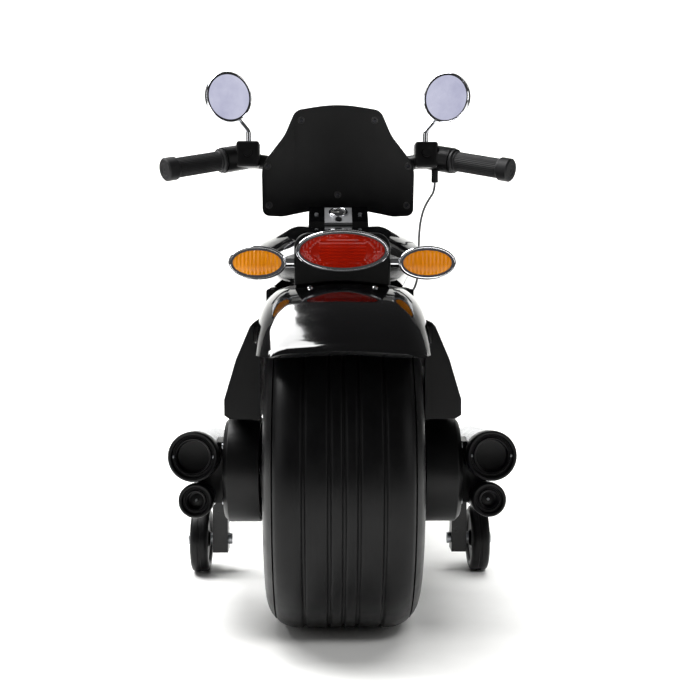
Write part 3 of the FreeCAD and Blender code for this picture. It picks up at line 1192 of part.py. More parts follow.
for x, z in ((size.top_screw_x, size.top_screw_z), (size.side_screw_x, size.side_screw_z),
             (size.foot_screw_x, size.foot_screw_z)):
    screw_places += [(x, z), (-x, z)]
heads = []
for number, (x, z) in enumerate(screw_places):
    inward = point(-x, -math.sqrt(size.fairing_curve_r ** 2 - x ** 2), 0).normalize()
    reach = math.sqrt(size.fairing_curve_r ** 2 - size.screw_r ** 2)
    seat = point(0, -size.fairing_curve_r, z) - inward * reach
    heads.append(shaped("panel_screw_%d" % number,
                        place_fairing(Part.makeCylinder(size.screw_r, size.screw_height, seat, inward))))
node(group("panel_screws", *heads), "panel_screws")

# Throttle cable: from the gland under the right collar down to a grommet in the body's side
grommet_line = ("rear_y + grommet_ahead", "grommet_z")
grommet_face = "shell_half_width - grommet_set_in"
grommet_inside = grommet_face + " - grommet_length"
grommet = fuse("grommet_blank",
               rod("grommet_flange", "grommet_r", "grommet_flange + 2",
                   (grommet_face + " - 2",) + grommet_line),
               rod("grommet_neck", "grommet_neck_r", "grommet_length", (grommet_inside,) + grommet_line))
node(cut("cable_grommet", grommet, body_shell_right), "cable_grommet")
cable_end = point(*[number_of(words) for words in (grommet_face + " + grommet_flange",) + grommet_line])
CABLE_ROUTE = ((146, 107.8, 519), (137, 104.5, 506.5), (128.5, 100.5, 491), (123, 95, 470), (121, 90, 447),
               (120.5, 84.5, 424), (119.5, 79, 403), (117.5, 73, 386), (113.5, 68, 374), (107.5, 64.5,
                                                                                          366.5),
               (100.5, 62.5, 362))
route = [gland_foot] + [point(*place) for place in CABLE_ROUTE] + [cable_end]
radii = [0]
for before, corner, after in zip(route, route[1:], route[2:]):
    turn = (corner - before).getAngle(after - corner)
    run = min((corner - before).Length, (after - corner).Length)
    radii.append(0.45 * run / math.tan(turn / 2))
radii.append(0)
cable_path = rounded_wire(route, radii, closed=False)
cable = tube(cable_path, size.cable_r)
print("cable radii", [round(radius, 1) for radius in radii[1:-1]])
round_volume = math.pi * size.cable_r ** 2 * cable_path.Length
print("cable length %.1f volume ratio %.4f" % (cable_path.Length, cable.Volume / round_volume))
node(shaped("throttle_cable", cable), "throttle_cable")

# Check every object, then write one file for each sub-part
doc.recompute()
for item in doc.Objects:
    if "Invalid" in item.State or "Error" in item.State:
        raise RuntimeError("failed object: " + item.Label)
for item in nodes:
    if item.Shape.isNull() or not item.Shape.isValid() or item.Shape.Volume <= 0:
        raise RuntimeError("bad shape: " + item.Label)
os.makedirs("parts", exist_ok=True)
for item in nodes:
    item.Shape.exportStep("parts/%s.step" % item.Label)
print(len(nodes), "sub-parts written")
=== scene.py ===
"""Looks of the kids electric motorbike: finishes, moulded detail, lamps, seat and cable.

The sizes that the pieces' classes hold are in millimetres. Meshes and the studio are in metres.
"""
import json
import logging
import math
from dataclasses import dataclass
from enum import Enum
from typing import Any, Sequence

import bmesh
import bpy
from mathutils import Matrix, Vector
from mathutils.bvhtree import BVHTree


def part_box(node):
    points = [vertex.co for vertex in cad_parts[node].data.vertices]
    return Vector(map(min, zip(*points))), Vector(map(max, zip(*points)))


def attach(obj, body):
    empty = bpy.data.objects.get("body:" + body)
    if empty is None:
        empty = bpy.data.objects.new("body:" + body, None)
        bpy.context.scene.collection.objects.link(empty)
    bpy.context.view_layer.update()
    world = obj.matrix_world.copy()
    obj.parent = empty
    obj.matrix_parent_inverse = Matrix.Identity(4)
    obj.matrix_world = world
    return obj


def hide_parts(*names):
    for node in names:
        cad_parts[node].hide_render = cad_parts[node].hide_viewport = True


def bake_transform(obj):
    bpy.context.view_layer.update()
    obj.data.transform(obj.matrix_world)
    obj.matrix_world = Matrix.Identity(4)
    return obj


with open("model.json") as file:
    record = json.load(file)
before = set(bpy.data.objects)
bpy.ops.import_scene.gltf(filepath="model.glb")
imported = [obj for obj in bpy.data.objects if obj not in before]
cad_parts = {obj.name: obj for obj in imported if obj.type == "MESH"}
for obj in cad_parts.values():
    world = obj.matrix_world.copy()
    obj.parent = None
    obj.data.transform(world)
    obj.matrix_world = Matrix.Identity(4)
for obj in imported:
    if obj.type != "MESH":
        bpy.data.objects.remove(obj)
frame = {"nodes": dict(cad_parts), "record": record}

Place = tuple[float, float, float]
Section = tuple[tuple[float, float], ...]  # corners, mostly as (radius, height) in millimetres

log = logging.getLogger("motorbike")
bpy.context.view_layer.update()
AXIS = 0.001  # radius in millimetres of a pole, small enough to close when points are merged
MERGE = 0.01  # millimetres within which the points of a modelled form become one
SOLID_MERGE = 0.005  # millimetres within which the loose corners of a solid become one
FACING = 0.9  # least cosine between a face and the side that it is counted on
PATCH_MM = 40  # size of the patches in which a colour drifts
SMUDGE_MM = 25  # size of the patches that handling and cleaning leave
RING_SCALE = 3 / math.tau  # wave scale that sets turned rings two thirds of a grain apart
BACKWARDS = Vector((0, -1, 0))
FORWARDS = Vector((0, 1, 0))
SIDEWAYS = Vector((1, 0, 0))


def mm(length: float) -> float:
    """Millimetres as metres."""
    return length / 1000


def linear(code: str) -> tuple[float, float, float, float]:
    """An sRGB hex colour as linear light.

    Args:
        code: six hex digits.

    Returns:
        Red, green, blue and a full alpha.
    """
    shares = [int(code[at:at + 2], 16) / 255 for at in (0, 2, 4)]
    light = [share / 12.92 if share <= 0.04045 else ((share + 0.055) / 1.055) ** 2.4
             for share in shares]
    return (light[0], light[1], light[2], 1.0)


def add_node(tree: bpy.types.NodeTree, kind: str, inputs: dict[Any, Any] | None = None,
             **settings: Any) -> bpy.types.Node:
    """Add one node with its settings and links.

    Args:
        tree: the material's nodes.
        kind: the node's type name.
        inputs: a value or another node's output for each named input.
        settings: the node's own properties.

    Returns:
        The new node.
    """
    made = tree.nodes.new(kind)
    for name, value in settings.items():
        setattr(made, name, value)
    for name, value in (inputs or {}).items():
        if isinstance(value, bpy.types.NodeSocket):
            tree.links.new(value, made.inputs[name])
        else:
            made.inputs[name].default_value = value
    return made


class Grain(Enum):
    """How a surface was made, which sets the pattern of its relief."""
    PEEL = "sprayed or polished, with a faint wave"
    SPARK = "moulded in a spark-eroded tool, with an even fine grain"
    HIDE = "pressed with a leather pebble"
    LINES = "brushed along the bike"
    TURNED = "moulded in a turned tool, with fine rings about the axle"


@dataclass(frozen=True)
class Finish:
    """A finish, named for the real material and how its surface was made."""
    name: str
    colour: str
    roughness: float
    grain: Grain
    grain_mm: float
    relief_mm: float
    haze: float = 0.05
    tint: str = ""
    metallic: float = 0.0
    ior: float = 1.5
    coat: float = 0.0
    coat_roughness: float = 0.04
    transmission: float = 0.0
    sheen: float = 0.0
    glow: float = 0.0
    shine: float = 0.5

    def material(self) -> bpy.types.Material:
        """Make the finish's material, once.

        Returns:
            The material.
        """
        known = bpy.data.materials.get(self.name)
        if known is not None:
            return known
        made = bpy.data.materials.new(self.name)
        made.use_nodes = True
        tree = made.node_tree
        shader = tree.nodes["Principled BSDF"]
        steady = {"Metallic": self.metallic, "IOR": self.ior, "Coat Weight": self.coat,
                  "Coat Roughness": self.coat_roughness, "Transmission Weight": self.transmission,
                  "Sheen Weight": self.sheen, "Specular IOR Level": self.shine,
                  "Emission Color": linear(self.colour), "Emission Strength": self.glow}
        for socket, value in steady.items():
            shader.inputs[socket].default_value = value
        place = add_node(tree, "ShaderNodeTexCoord").outputs["Object"]
        patterns = {"Base Color": self.tones(tree, place), "Roughness": self.smudges(tree, place),
                    "Normal": self.relief(tree, place)}
        for socket, pattern in patterns.items():
            tree.links.new(pattern, shader.inputs[socket])
        return made

    def tones(self, tree: bpy.types.NodeTree, place: bpy.types.NodeSocket) -> bpy.types.NodeSocket:
        """Drift the colour a little between two tones.

        Args:
            tree: the material's nodes.
            place: the coordinates that the pattern lies on.

        Returns:
            The colour.
        """
        patches = add_node(tree, "ShaderNodeTexNoise",
                           {"Vector": place, "Scale": 1 / mm(PATCH_MM), "Detail": 4.0})
        ramp = add_node(tree, "ShaderNodeValToRGB", {"Fac": patches.outputs["Fac"]})
        first, last = ramp.color_ramp.elements
        first.position, last.position = 0.35, 0.7
        first.color, last.color = linear(self.colour), linear(self.tint or self.colour)
        return ramp.outputs["Color"]

    def smudges(self, tree: bpy.types.NodeTree,
                place: bpy.types.NodeSocket) -> bpy.types.NodeSocket:
        """Vary the roughness as handling and cleaning do.

        Args:
            tree: the material's nodes.
            place: the coordinates that the pattern lies on.

        Returns:
            The roughness.
        """
        smudge = add_node(tree, "ShaderNodeTexNoise", {
            "Vector": place, "Scale": 1 / mm(SMUDGE_MM), "Detail": 6.0, "Roughness": 0.65})
        spread = add_node(tree, "ShaderNodeMapRange", {
            "Value": smudge.outputs["Fac"], "From Min": 0.3, "From Max": 0.75,
            "To Min": self.roughness, "To Max": self.roughness + self.haze})
        return spread.outputs["Result"]

    def relief(self, tree: bpy.types.NodeTree, place: bpy.types.NodeSocket) -> bpy.types.NodeSocket:
        """Raise the grain that the surface was made with.

        Args:
            tree: the material's nodes.
            place: the coordinates that the pattern lies on.

        Returns:
            The normal.
        """
        scale = 1 / mm(self.grain_mm)
        if self.grain is Grain.HIDE:
            cells = add_node(tree, "ShaderNodeTexVoronoi", {
                "Vector": place, "Scale": scale, "Randomness": 0.9}, feature="DISTANCE_TO_EDGE")
            height = add_node(tree, "ShaderNodeMapRange", {
                "Value": cells.outputs["Distance"], "From Min": 0.0, "From Max": 0.25,
            }).outputs["Result"]
        elif self.grain is Grain.LINES:
            drawn = add_node(tree, "ShaderNodeMapping", {
                "Vector": place, "Scale": (1.0, 0.02, 1.0)})
            height = add_node(tree, "ShaderNodeTexNoise", {
                "Vector": drawn.outputs["Vector"], "Scale": scale}).outputs["Fac"]
        elif self.grain is Grain.TURNED:
            height = add_node(tree, "ShaderNodeTexWave", {
                "Vector": place, "Scale": scale * RING_SCALE, "Distortion": 0.6, "Detail": 1.0,
            }, bands_direction="X").outputs["Fac"]
        else:
            detail = 1.0 if self.grain is Grain.PEEL else 3.0
            height = add_node(tree, "ShaderNodeTexNoise", {
                "Vector": place, "Scale": scale, "Detail": detail}).outputs["Fac"]
        bump = add_node(tree, "ShaderNodeBump", {
            "Height": height, "Strength": 1.0, "Distance": mm(self.relief_mm)})
        return bump.outputs["Normal"]


# Real mould grains are finer than a pixel, so each is drawn as coarse as it needs to be to show

# Polished ABS: piano black, so it shows the studio as sharp bright shapes with a faint wave
GLOSS_BLACK = Finish("polished_abs_black", colour="040405", roughness=0.05, grain=Grain.PEEL,
                     grain_mm=9, relief_mm=0.01, haze=0.06, tint="060607", coat=0.5)
# Grained ABS: black from a spark-eroded tool, so highlights are broad and grey
SATIN_BLACK = Finish("grained_abs_black", colour="060607", roughness=0.33, grain=Grain.SPARK,
                     grain_mm=0.9, relief_mm=0.03, haze=0.12, tint="0a0a0b", shine=0.19)
# Blow-moulded polyethylene: the tyre's waxy black with fine turned rings
TYRE_BLACK = Finish("moulded_polyethylene_black", colour="060607", roughness=0.3,
                    grain=Grain.TURNED, grain_mm=2.2, relief_mm=0.02, haze=0.16, tint="0b0b0c",
                    shine=0.17)
# Soft PVC: the grips' dull black, a little dusty
GRIP_BLACK = Finish("soft_pvc_black", colour="0d0d0f", roughness=0.5, grain=Grain.SPARK,
                    grain_mm=0.7, relief_mm=0.04, haze=0.14, tint="141416", shine=0.3)
# Chrome plate: a bright mirror with slight clouding
CHROME = Finish("chrome_plate", colour="e6e7ea", roughness=0.03, grain=Grain.PEEL, grain_mm=14,
                relief_mm=0.004, haze=0.05, tint="dcdde2", metallic=1.0)
# Vacuum plated plastic: softer than chrome, slightly blurred
PLATED = Finish("vacuum_plated_plastic", colour="a9abb0", roughness=0.2, grain=Grain.PEEL,
                grain_mm=6, relief_mm=0.01, haze=0.1, tint="989aa0", metallic=1.0)
# Silver lacquer on plastic: fine metallic flake lines along the plate
SILVER = Finish("silver_lacquer", colour="a9aaad", roughness=0.34, grain=Grain.LINES, grain_mm=0.5,
                relief_mm=0.02, haze=0.1, tint="b8b9bb", metallic=0.7)
# Zinc plated steel: pale grey, clouded
ZINC = Finish("zinc_plated_steel", colour="a4a6aa", roughness=0.28, grain=Grain.SPARK, grain_mm=1.4,
              relief_mm=0.01, haze=0.15, tint="b9bbbf", metallic=1.0)
# Black zinc: the fairing's screws, dark and slightly shiny
BLACK_ZINC = Finish("black_zinc_steel", colour="2c2c30", roughness=0.3, grain=Grain.SPARK,
                    grain_mm=1.4, relief_mm=0.01, haze=0.15, tint="3a3a3e", metallic=1.0)
# Powder coat: black over steel, with the coating's small wave
COATED = Finish("powder_coated_steel", colour="09090a", roughness=0.26, grain=Grain.PEEL,
                grain_mm=2.5, relief_mm=0.03, haze=0.12, tint="0e0e10", shine=0.35)
# Mirror film on acrylic: a clean bright reflection with a cool cast
MIRROR = Finish("mirror_acrylic", colour="b3b4c6", roughness=0.02, grain=Grain.PEEL, grain_mm=30,
                relief_mm=0.002, haze=0.03, tint="9fa0b6", metallic=1.0)
# Red clear acrylic: light goes in, strikes the prisms and comes back deep in colour; its glow is
# painted light, an emission that brightens the lens with no lamp lit behind it
RED_CLEAR = Finish("red_acrylic", colour="b81e04", roughness=0.12, grain=Grain.PEEL, grain_mm=5,
                   relief_mm=0.01, tint="941203", ior=1.49, coat=0.1, transmission=0.3, glow=0.1,
                   shine=0.22)
# Amber clear acrylic: as the red, but paler and warmer, with a stronger painted glow that stands in
# for light and is no lamp
AMBER_CLEAR = Finish("amber_acrylic", colour="f5a004", roughness=0.12, grain=Grain.PEEL, grain_mm=5,
                     relief_mm=0.01, tint="dc8202", ior=1.49, coat=0.1, transmission=0.3, glow=0.14,
                     shine=0.25)
# Clear acrylic: nearly colourless, so the bowl shows behind the flutes
WATER_CLEAR = Finish("clear_acrylic", colour="f4f6f8", roughness=0.04, grain=Grain.PEEL, grain_mm=5,
                     relief_mm=0.005, tint="eef1f4", ior=1.49, coat=0.3, transmission=0.92)
# Leatherette: black vinyl with a pebble that catches small points of light
LEATHERETTE = Finish("black_leatherette", colour="0e0e10", roughness=0.38, grain=Grain.HIDE,
                     grain_mm=2.6, relief_mm=0.12, haze=0.12, tint="141416", sheen=0.1)
# Thread: spun polyester, a shade lighter than the cover
THREAD = Finish("polyester_thread", colour="1c1c1f", roughness=0.6, grain=Grain.SPARK, grain_mm=0.4,
                relief_mm=0.03, tint="26262a", sheen=0.3)
# Cable jacket: grey PVC, smooth and slightly shiny
JACKET = Finish("grey_pvc_jacket", colour="5c5c5f", roughness=0.3, grain=Grain.SPARK, grain_mm=0.6,
                relief_mm=0.01, haze=0.1, tint="6a6a6d")
# Nylon: the gears' milky white
NYLON = Finish("nylon_natural", colour="c9c6bc", roughness=0.4, grain=Grain.SPARK, grain_mm=1.0,
               relief_mm=0.01, haze=0.1, tint="d5d2c8")
# Ink: dark print on the gauge; the same near-black on the rings round the screws is painted shade,
# standing in for wells that light hardly reaches
INK_AND_WELL_SHADE = Finish("black_ink_and_well_shade", colour="08080a", roughness=0.45, grain=Grain.SPARK, grain_mm=0.5,
             relief_mm=0.005, haze=0.1, tint="0c0c0e")
# Printed marks: off-white print stock, matt on the gauge's dark dial
DIAL = Finish("printed_dial", colour="d9d8d2", roughness=0.5, grain=Grain.SPARK, grain_mm=0.6,
              relief_mm=0.01, haze=0.1, tint="cfcdc6")
# Lit paper: the wall round the studio, evenly bright
LIT_PAPER = Finish("lit_studio_paper", colour="efefee", roughness=0.75, grain=Grain.SPARK,
                   grain_mm=1.5, relief_mm=0.02, haze=0.1, glow=0.92, shine=0.0)
# Studio paper: a pale even sheet under and behind the bike
PAPER = Finish("studio_paper", colour="f2f2f0", roughness=0.75, grain=Grain.SPARK, grain_mm=1.5,
               relief_mm=0.02, haze=0.1, tint="f5f5f3")

SLOT_FINISH: dict[str, Finish] = {
    "tyre": TYRE_BLACK, "wheel_plastic": SATIN_BLACK, "gloss_black": GLOSS_BLACK,
    "satin_black": SATIN_BLACK, "grip_rubber": GRIP_BLACK, "chrome": CHROME, "mirror": MIRROR,
    "silver_plastic": SILVER, "red_lens": RED_CLEAR, "amber_lens": AMBER_CLEAR,
    "clear_lens": WATER_CLEAR, "button_plastic": SATIN_BLACK, "frame_steel": COATED, "steel": ZINC,
    "gear_plastic": NYLON, "battery_case": SATIN_BLACK, "seat": LEATHERETTE,
}
NODE_FINISH: dict[str, Finish] = {
    "muffler_left": PLATED, "muffler_right": PLATED,
    "side_cover_left": SATIN_BLACK, "side_cover_right": SATIN_BLACK,
}


def new_mesh(name: str, form: bmesh.types.BMesh, finish: Finish) -> bpy.types.Mesh:
    """Turn a form into a mesh with its finish.

    Args:
        name: the mesh's name.
        form: the modelled form, which is used up.
        finish: the mesh's finish.

    Returns:
        The new mesh.
    """
    mesh = bpy.data.meshes.new(name)
    form.to_mesh(mesh)
    form.free()
    mesh.materials.append(finish.material())
    return mesh


def show(name: str, mesh: bpy.types.Mesh, crease: float = 35) -> bpy.types.Object:
    """Put a mesh in the scene with smooth shading and its sharp edges kept.

    Args:
        name: the piece's name.
        mesh: its finished mesh, with its place in it.
        crease: the angle in degrees above which an edge stays sharp.

    Returns:
        The new object.
    """
    mesh.shade_smooth()
    mesh.set_sharp_from_angle(angle=math.radians(crease))
    piece = bpy.data.objects.new(name, mesh)
    bpy.context.collection.objects.link(piece)
    return piece


def settle(name: str, form: bmesh.types.BMesh, finish: Finish, body: str,
           stands_for: Sequence[str] = (), crease: float = 35) -> bpy.types.Object:
    """Close a form, give it a finish and fix it to its body.

    Args:
        name: the piece's name.
        form: the modelled form, which is used up.
        finish: the piece's finish.
        body: the body that it moves with.
        stands_for: the solids that it is shown in place of.
        crease: the angle in degrees above which an edge stays sharp.

    Returns:
        The finished piece.
    """
    bmesh.ops.remove_doubles(form, verts=form.verts, dist=mm(MERGE))
    bmesh.ops.recalc_face_normals(form, faces=form.faces)
    piece = show(name, new_mesh(name, form, finish), crease)
    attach(piece, body)
    if stands_for:
        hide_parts(*stands_for)
    log.info("%s rides on %s", name, body)
    return piece


def aim(place: Sequence[float], along: Vector) -> Matrix:
    """A frame at a place whose Z axis points along a direction."""
    return Matrix.Translation(Vector(place)) @ along.to_track_quat("Z", "Y").to_matrix().to_4x4()


def lathe(form: bmesh.types.BMesh, section: Sequence[tuple[float, float]], at: Matrix,
          steps: int) -> None:
    """Spin a section of (radius, height) millimetres about the Z axis of a frame.

    Args:
        form: the form that receives the turned faces.
        section: the half section, from one end on the axis or the rim to the other.
        at: the frame that the piece is turned in.
        steps: how many flats the circle has.
    """
    corners = [form.verts.new(at @ Vector((mm(radius), 0, mm(height))))
               for radius, height in section]
    edges = [form.edges.new(pair) for pair in zip(corners, corners[1:])]
    axis = at.to_3x3() @ Vector((0, 0, 1))
    bmesh.ops.spin(form, geom=corners + edges, cent=at.translation, axis=axis, angle=math.tau,
                   steps=steps, use_merge=True, use_duplicate=False)


def turned(section: Sequence[tuple[float, float]], frames: Sequence[Matrix],
           steps: int) -> bmesh.types.BMesh:
    """Turn the same section in one frame after another.

    Args:
        section: the half section, in millimetres.
        frames: the frames that it is turned in.
        steps: how many flats the circle has.

    Returns:
        A new form with the turned shapes.
    """
    form = bmesh.new()
    for at in frames:
        lathe(form, section, at, steps)
    return form


def everything(form: bmesh.types.BMesh) -> list[Any]:
    """All points, edges and faces of a form."""
    return form.verts[:] + form.edges[:] + form.faces[:]


def points_in(made: Sequence[Any]) -> list[bmesh.types.BMVert]:
    """The points among what an operator made."""
    return [item for item in made if isinstance(item, bmesh.types.BMVert)]


def edges_at(points: Sequence[bmesh.types.BMVert]) -> list[bmesh.types.BMEdge]:
    """The edges that meet some points, each once and in order."""
    return list(dict.fromkeys(edge for vertex in points for edge in vertex.link_edges))


def tube(form: bmesh.types.BMesh, points: Sequence[Vector], radius: float, sides: int,
         closed: bool = False) -> None:
    """Run a round section along a line.

    Args:
        form: the form that receives the tube.
        points: the line, in metres.
        radius: the tube's radius in millimetres.
        sides: how many flats the section has.
        closed: true where the line's end meets its start.
    """
    count = len(points)
    rings: list[list[bmesh.types.BMEdge]] = []
    for index, place in enumerate(points):
        after = points[(index + 1) % count] if closed else points[min(index + 1, count - 1)]
        before = points[index - 1] if closed or index else points[0]
        ring = bmesh.ops.create_circle(form, cap_ends=False, segments=sides, radius=mm(radius),
                                       matrix=aim(place, after - before))["verts"]
        rings.append(edges_at(ring))
    following = rings[1:] + rings[:1] if closed else rings[1:]
    for near, far in zip(rings, following):
        bmesh.ops.bridge_loops(form, edges=near + far)
    if not closed:
        bmesh.ops.holes_fill(form, edges=rings[0] + rings[-1], sides=sides)


def oval_ring(form: bmesh.types.BMesh, section: Section, width: float, height: float,
              at: Matrix, steps: int = 72) -> None:
    """Run a section round an oval.

    Args:
        form: the form that receives the ring.
        section: the closed section as (distance outside the oval, height) in millimetres.
        width: the oval's width in millimetres.
        height: the oval's height in millimetres.
        at: the frame whose Z axis stands on the oval's plane.
        steps: how many flats the oval has.
    """
    ring = bmesh.new()
    lathe(ring, [(width / 2 + out, up) for out, up in (*section, section[0])], Matrix(), steps)
    for vertex in ring.verts:
        turn = math.atan2(vertex.co.y, vertex.co.x)
        out = vertex.co.xy.length - mm(width / 2)
        lean = Vector((height * math.cos(turn), width * math.sin(turn))).normalized()
        vertex.co.x = mm(width / 2) * math.cos(turn) + lean.x * out
        vertex.co.y = mm(height / 2) * math.sin(turn) + lean.y * out
    join(form, ring, at)


def join(form: bmesh.types.BMesh, extra: bmesh.types.BMesh, at: Matrix) -> None:
    """Add one form to another, in a frame, and use it up.

    Args:
        form: the form that receives the other.
        extra: the form that is added.
        at: the frame that it goes to.
    """
    bmesh.ops.transform(extra, matrix=at, verts=extra.verts)
    bmesh.ops.remove_doubles(extra, verts=extra.verts, dist=mm(MERGE))
    bmesh.ops.recalc_face_normals(extra, faces=extra.faces)
    carrier = bpy.data.meshes.new("carrier")
    extra.to_mesh(carrier)
    extra.free()
    form.from_mesh(carrier)
    bpy.data.meshes.remove(carrier)


def centre_of(node: str) -> Vector:
    """The middle of a solid's box."""
    low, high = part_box(node)
    return (low + high) / 2


def solid_copy(node: str) -> bmesh.types.BMesh:
    """Copy a solid, with its loose corners merged.

    Args:
        node: the solid's name.

    Returns:
        The copy, which can be modelled.
    """
    form = bmesh.new()
    form.from_mesh(frame["nodes"][node].data)
    bmesh.ops.remove_doubles(form, verts=form.verts, dist=mm(SOLID_MERGE))
    return form


def solids_of(node: str, way: Vector = BACKWARDS) -> list[tuple[Vector, Vector]]:
    """Find the separate solids of a node.

    Args:
        node: the node's name.
        way: the side that is looked at.

    Returns:
        For each solid, the middle of its box and the mean direction of its faces on that side.
    """
    form = solid_copy(node)
    left = set(form.verts)
    found = []
    while left:
        lump, front = set(), [left.pop()]
        while front:
            vertex = front.pop()
            lump.add(vertex)
            near = {edge.other_vert(vertex) for edge in vertex.link_edges} & left
            left -= near
            front.extend(near)
        low, high = (Vector([pick(vertex.co[axis] for vertex in lump) for axis in range(3)])
                     for pick in (min, max))
        facing = sum((face.normal * face.calc_area() for face in form.faces
                      if face.verts[0] in lump and face.normal.dot(way) > FACING), Vector())
        found.append(((low + high) / 2, facing.normalized()))
    form.free()
    return sorted(found, key=lambda item: tuple(item[0]))


def skin_at(node: str, spot: Vector) -> tuple[Vector, Vector]:
    """Find the point of a solid's skin that is nearest to a spot.

    Args:
        node: the solid's name.
        spot: the spot, in metres.

    Returns:
        The point and the skin's normal there.
    """
    form = bmesh.new()
    form.from_mesh(frame["nodes"][node].data)
    place, normal, _, _ = BVHTree.FromBMesh(form).find_nearest(spot)
    form.free()
    return place, normal


def soften(node: str, finish: Finish, body: str, edge: float) -> None:
    """Show a merged copy of a solid with its edges rounded.

    Args:
        node: the solid that the copy is shown in place of.
        finish: the copy's finish.
        body: the body that it moves with.
        edge: the radius of its edges in millimetres.
    """
    form = solid_copy(node)
    bmesh.ops.dissolve_limit(form, angle_limit=math.radians(1), verts=form.verts, edges=form.edges)
    piece = settle(node + "_skin", form, finish, body, [node], crease=60)
    round_off = piece.modifiers.new("rounded_edges", "BEVEL")
    round_off.width = mm(edge)
    round_off.segments = 3
    round_off.limit_method = "ANGLE"
    round_off.angle_limit = math.radians(30)
    round_off.harden_normals = True


@dataclass(frozen=True)
class Softbox:
    """A soft rectangular light, with its places and sizes in metres."""
    name: str
    place: Place
    target: Place
    size: tuple[float, float]
    watts: float
    paper_only: bool = False

    def hang(self, lit: bpy.types.Collection | None = None) -> None:
        """Hang the light.

        Args:
            lit: the only pieces that it lights, or nothing where it lights them all.
        """
        lamp = bpy.data.lights.new(self.name, "AREA")
        lamp.shape = "RECTANGLE"
        lamp.size, lamp.size_y = self.size
        lamp.energy = self.watts
        hung = bpy.data.objects.new(self.name, lamp)
        hung.matrix_world = aim(self.place, Vector(self.place) - Vector(self.target))
        bpy.context.collection.objects.link(hung)
        if lit is not None:
            hung.light_linking.receiver_collection = lit


@dataclass
class Studio:
    """The pale floor, soft lights and the camera that stands behind the bike."""
    lens: float = 58.3
    eye: Place = (-0.0175, -1.6125, 0.400)
    pitch: float = 4.03
    yaw: float = 1.19
    floor_reach: float = 4.0
    wall_at: float = 3.2
    sweep: float = 0.8
    sweep_steps: int = 12
    wall_r: float = 3.9
    wall_height: float = 5.0
    wall_sunk: float = 0.01
    wall_sides: int = 96
    air_light: float = 0.07
    lights: tuple[Softbox, ...] = (
        Softbox("key_left", place=(-1.2, 0.4, 2.25), target=(-0.7, 0.4, 0.3), size=(1.8, 1.6),
                watts=112),
        Softbox("card_left", place=(-1.9, -1.3, 0.95), target=(0.0, -0.2, 0.4), size=(1.1, 1.3),
                watts=5.5),
        Softbox("card_right", place=(1.9, -1.3, 0.95), target=(0.0, -0.2, 0.4), size=(1.1, 1.3),
                watts=5.5),
        Softbox("overhead", place=(0.4, 0.2, 2.8), target=(0.3, 0.2, 0.0), size=(2.6, 2.6),
                watts=110, paper_only=True),
        Softbox("backdrop_wash", place=(0.0, 1.6, 2.6), target=(0.0, 3.6, 1.0), size=(3.0, 0.6),
                watts=70, paper_only=True),
        Softbox("floor_wash", place=(0.9, -2.6, 2.4), target=(0.0, -0.9, 0.0), size=(1.6, 0.5),
                watts=40, paper_only=True))
    trim_card: Softbox = Softbox("trim_card", place=(0.9, -2.9, 1.1), target=(0.0, -0.4, 0.4),
                                 size=(1.5, 1.2), watts=26)

    def build(self) -> None:
        """Set up the camera, the paper sweep, the wall and the lights."""
        self.camera()
        sheet_alone = self.paper()
        self.wall()
        self.air()
        for light in self.lights:
            light.hang(sheet_alone if light.paper_only else None)

    def camera(self) -> None:
        """Stand the camera behind the bike, close to its centre line and above the axles."""
        lens = bpy.data.cameras.new("photo_camera")
        lens.lens = self.lens
        camera = bpy.data.objects.new("photo_camera", lens)
        camera.location = self.eye
        camera.rotation_euler = (math.radians(90 - self.pitch), 0, -math.radians(self.yaw))
        bpy.context.collection.objects.link(camera)
        bpy.context.scene.camera = camera

    def paper(self) -> bpy.types.Collection:
        """Lay a sheet of paper that sweeps up into a wall in front of the bike.

        Returns:
            A collection that holds the sheet alone.
        """
        form = bmesh.new()
        near = form.verts.new((-self.floor_reach, -self.floor_reach, 0))
        foot = form.verts.new((-self.floor_reach, self.wall_at, 0))
        form.edges.new((near, foot))
        bend = (-self.floor_reach, self.wall_at, self.sweep)
        turn = bmesh.ops.spin(form, geom=[foot], cent=bend, axis=SIDEWAYS, angle=math.radians(90),
                              steps=self.sweep_steps)
        top = points_in(turn["geom_last"])
        rise = bmesh.ops.extrude_vert_indiv(form, verts=top)["verts"]
        bmesh.ops.translate(form, verts=rise, vec=(0, 0, self.floor_reach))
        wide = bmesh.ops.extrude_edge_only(form, edges=form.edges[:])["geom"]
        bmesh.ops.translate(form, verts=points_in(wide), vec=(2 * self.floor_reach, 0, 0))
        bmesh.ops.recalc_face_normals(form, faces=form.faces)
        sheet = show("paper_sweep", new_mesh("paper_sweep", form, PAPER))
        alone = bpy.data.collections.new("paper_alone")
        alone.objects.link(sheet)
        return alone

    def wall(self) -> None:
        """Stand a bright round wall that the camera sees and the bike doesn't mirror."""
        form = bmesh.new()
        bmesh.ops.create_cone(form, cap_ends=False, segments=self.wall_sides, radius1=self.wall_r,
                              radius2=self.wall_r, depth=self.wall_height)
        up = self.wall_height / 2 - self.wall_sunk
        bmesh.ops.translate(form, verts=form.verts, vec=(0, 0, up))
        bmesh.ops.reverse_faces(form, faces=form.faces)
        standing = show("studio_wall", new_mesh("studio_wall", form, LIT_PAPER))
        standing.visible_diffuse = standing.visible_glossy = False
        standing.visible_transmission = standing.visible_shadow = False

    def air(self) -> None:
        """Fill the studio with a little even light."""
        scene = bpy.context.scene
        scene.view_settings.view_transform = "Standard"
        world = bpy.data.worlds.new("studio_air")
        world.use_nodes = True
        air = world.node_tree.nodes["Background"]
        air.inputs["Color"].default_value = linear("ffffff")
        air.inputs["Strength"].default_value = self.air_light
        scene.world = world

    def gleam(self, pieces: Sequence[str]) -> None:
        """Hang a card that only the plated trim mirrors.

        Args:
            pieces: the names of the plated pieces.
        """
        trim = bpy.data.collections.new("plated_trim")
        for name in pieces:
            trim.objects.link(bpy.data.objects[name])
        self.trim_card.hang(trim)


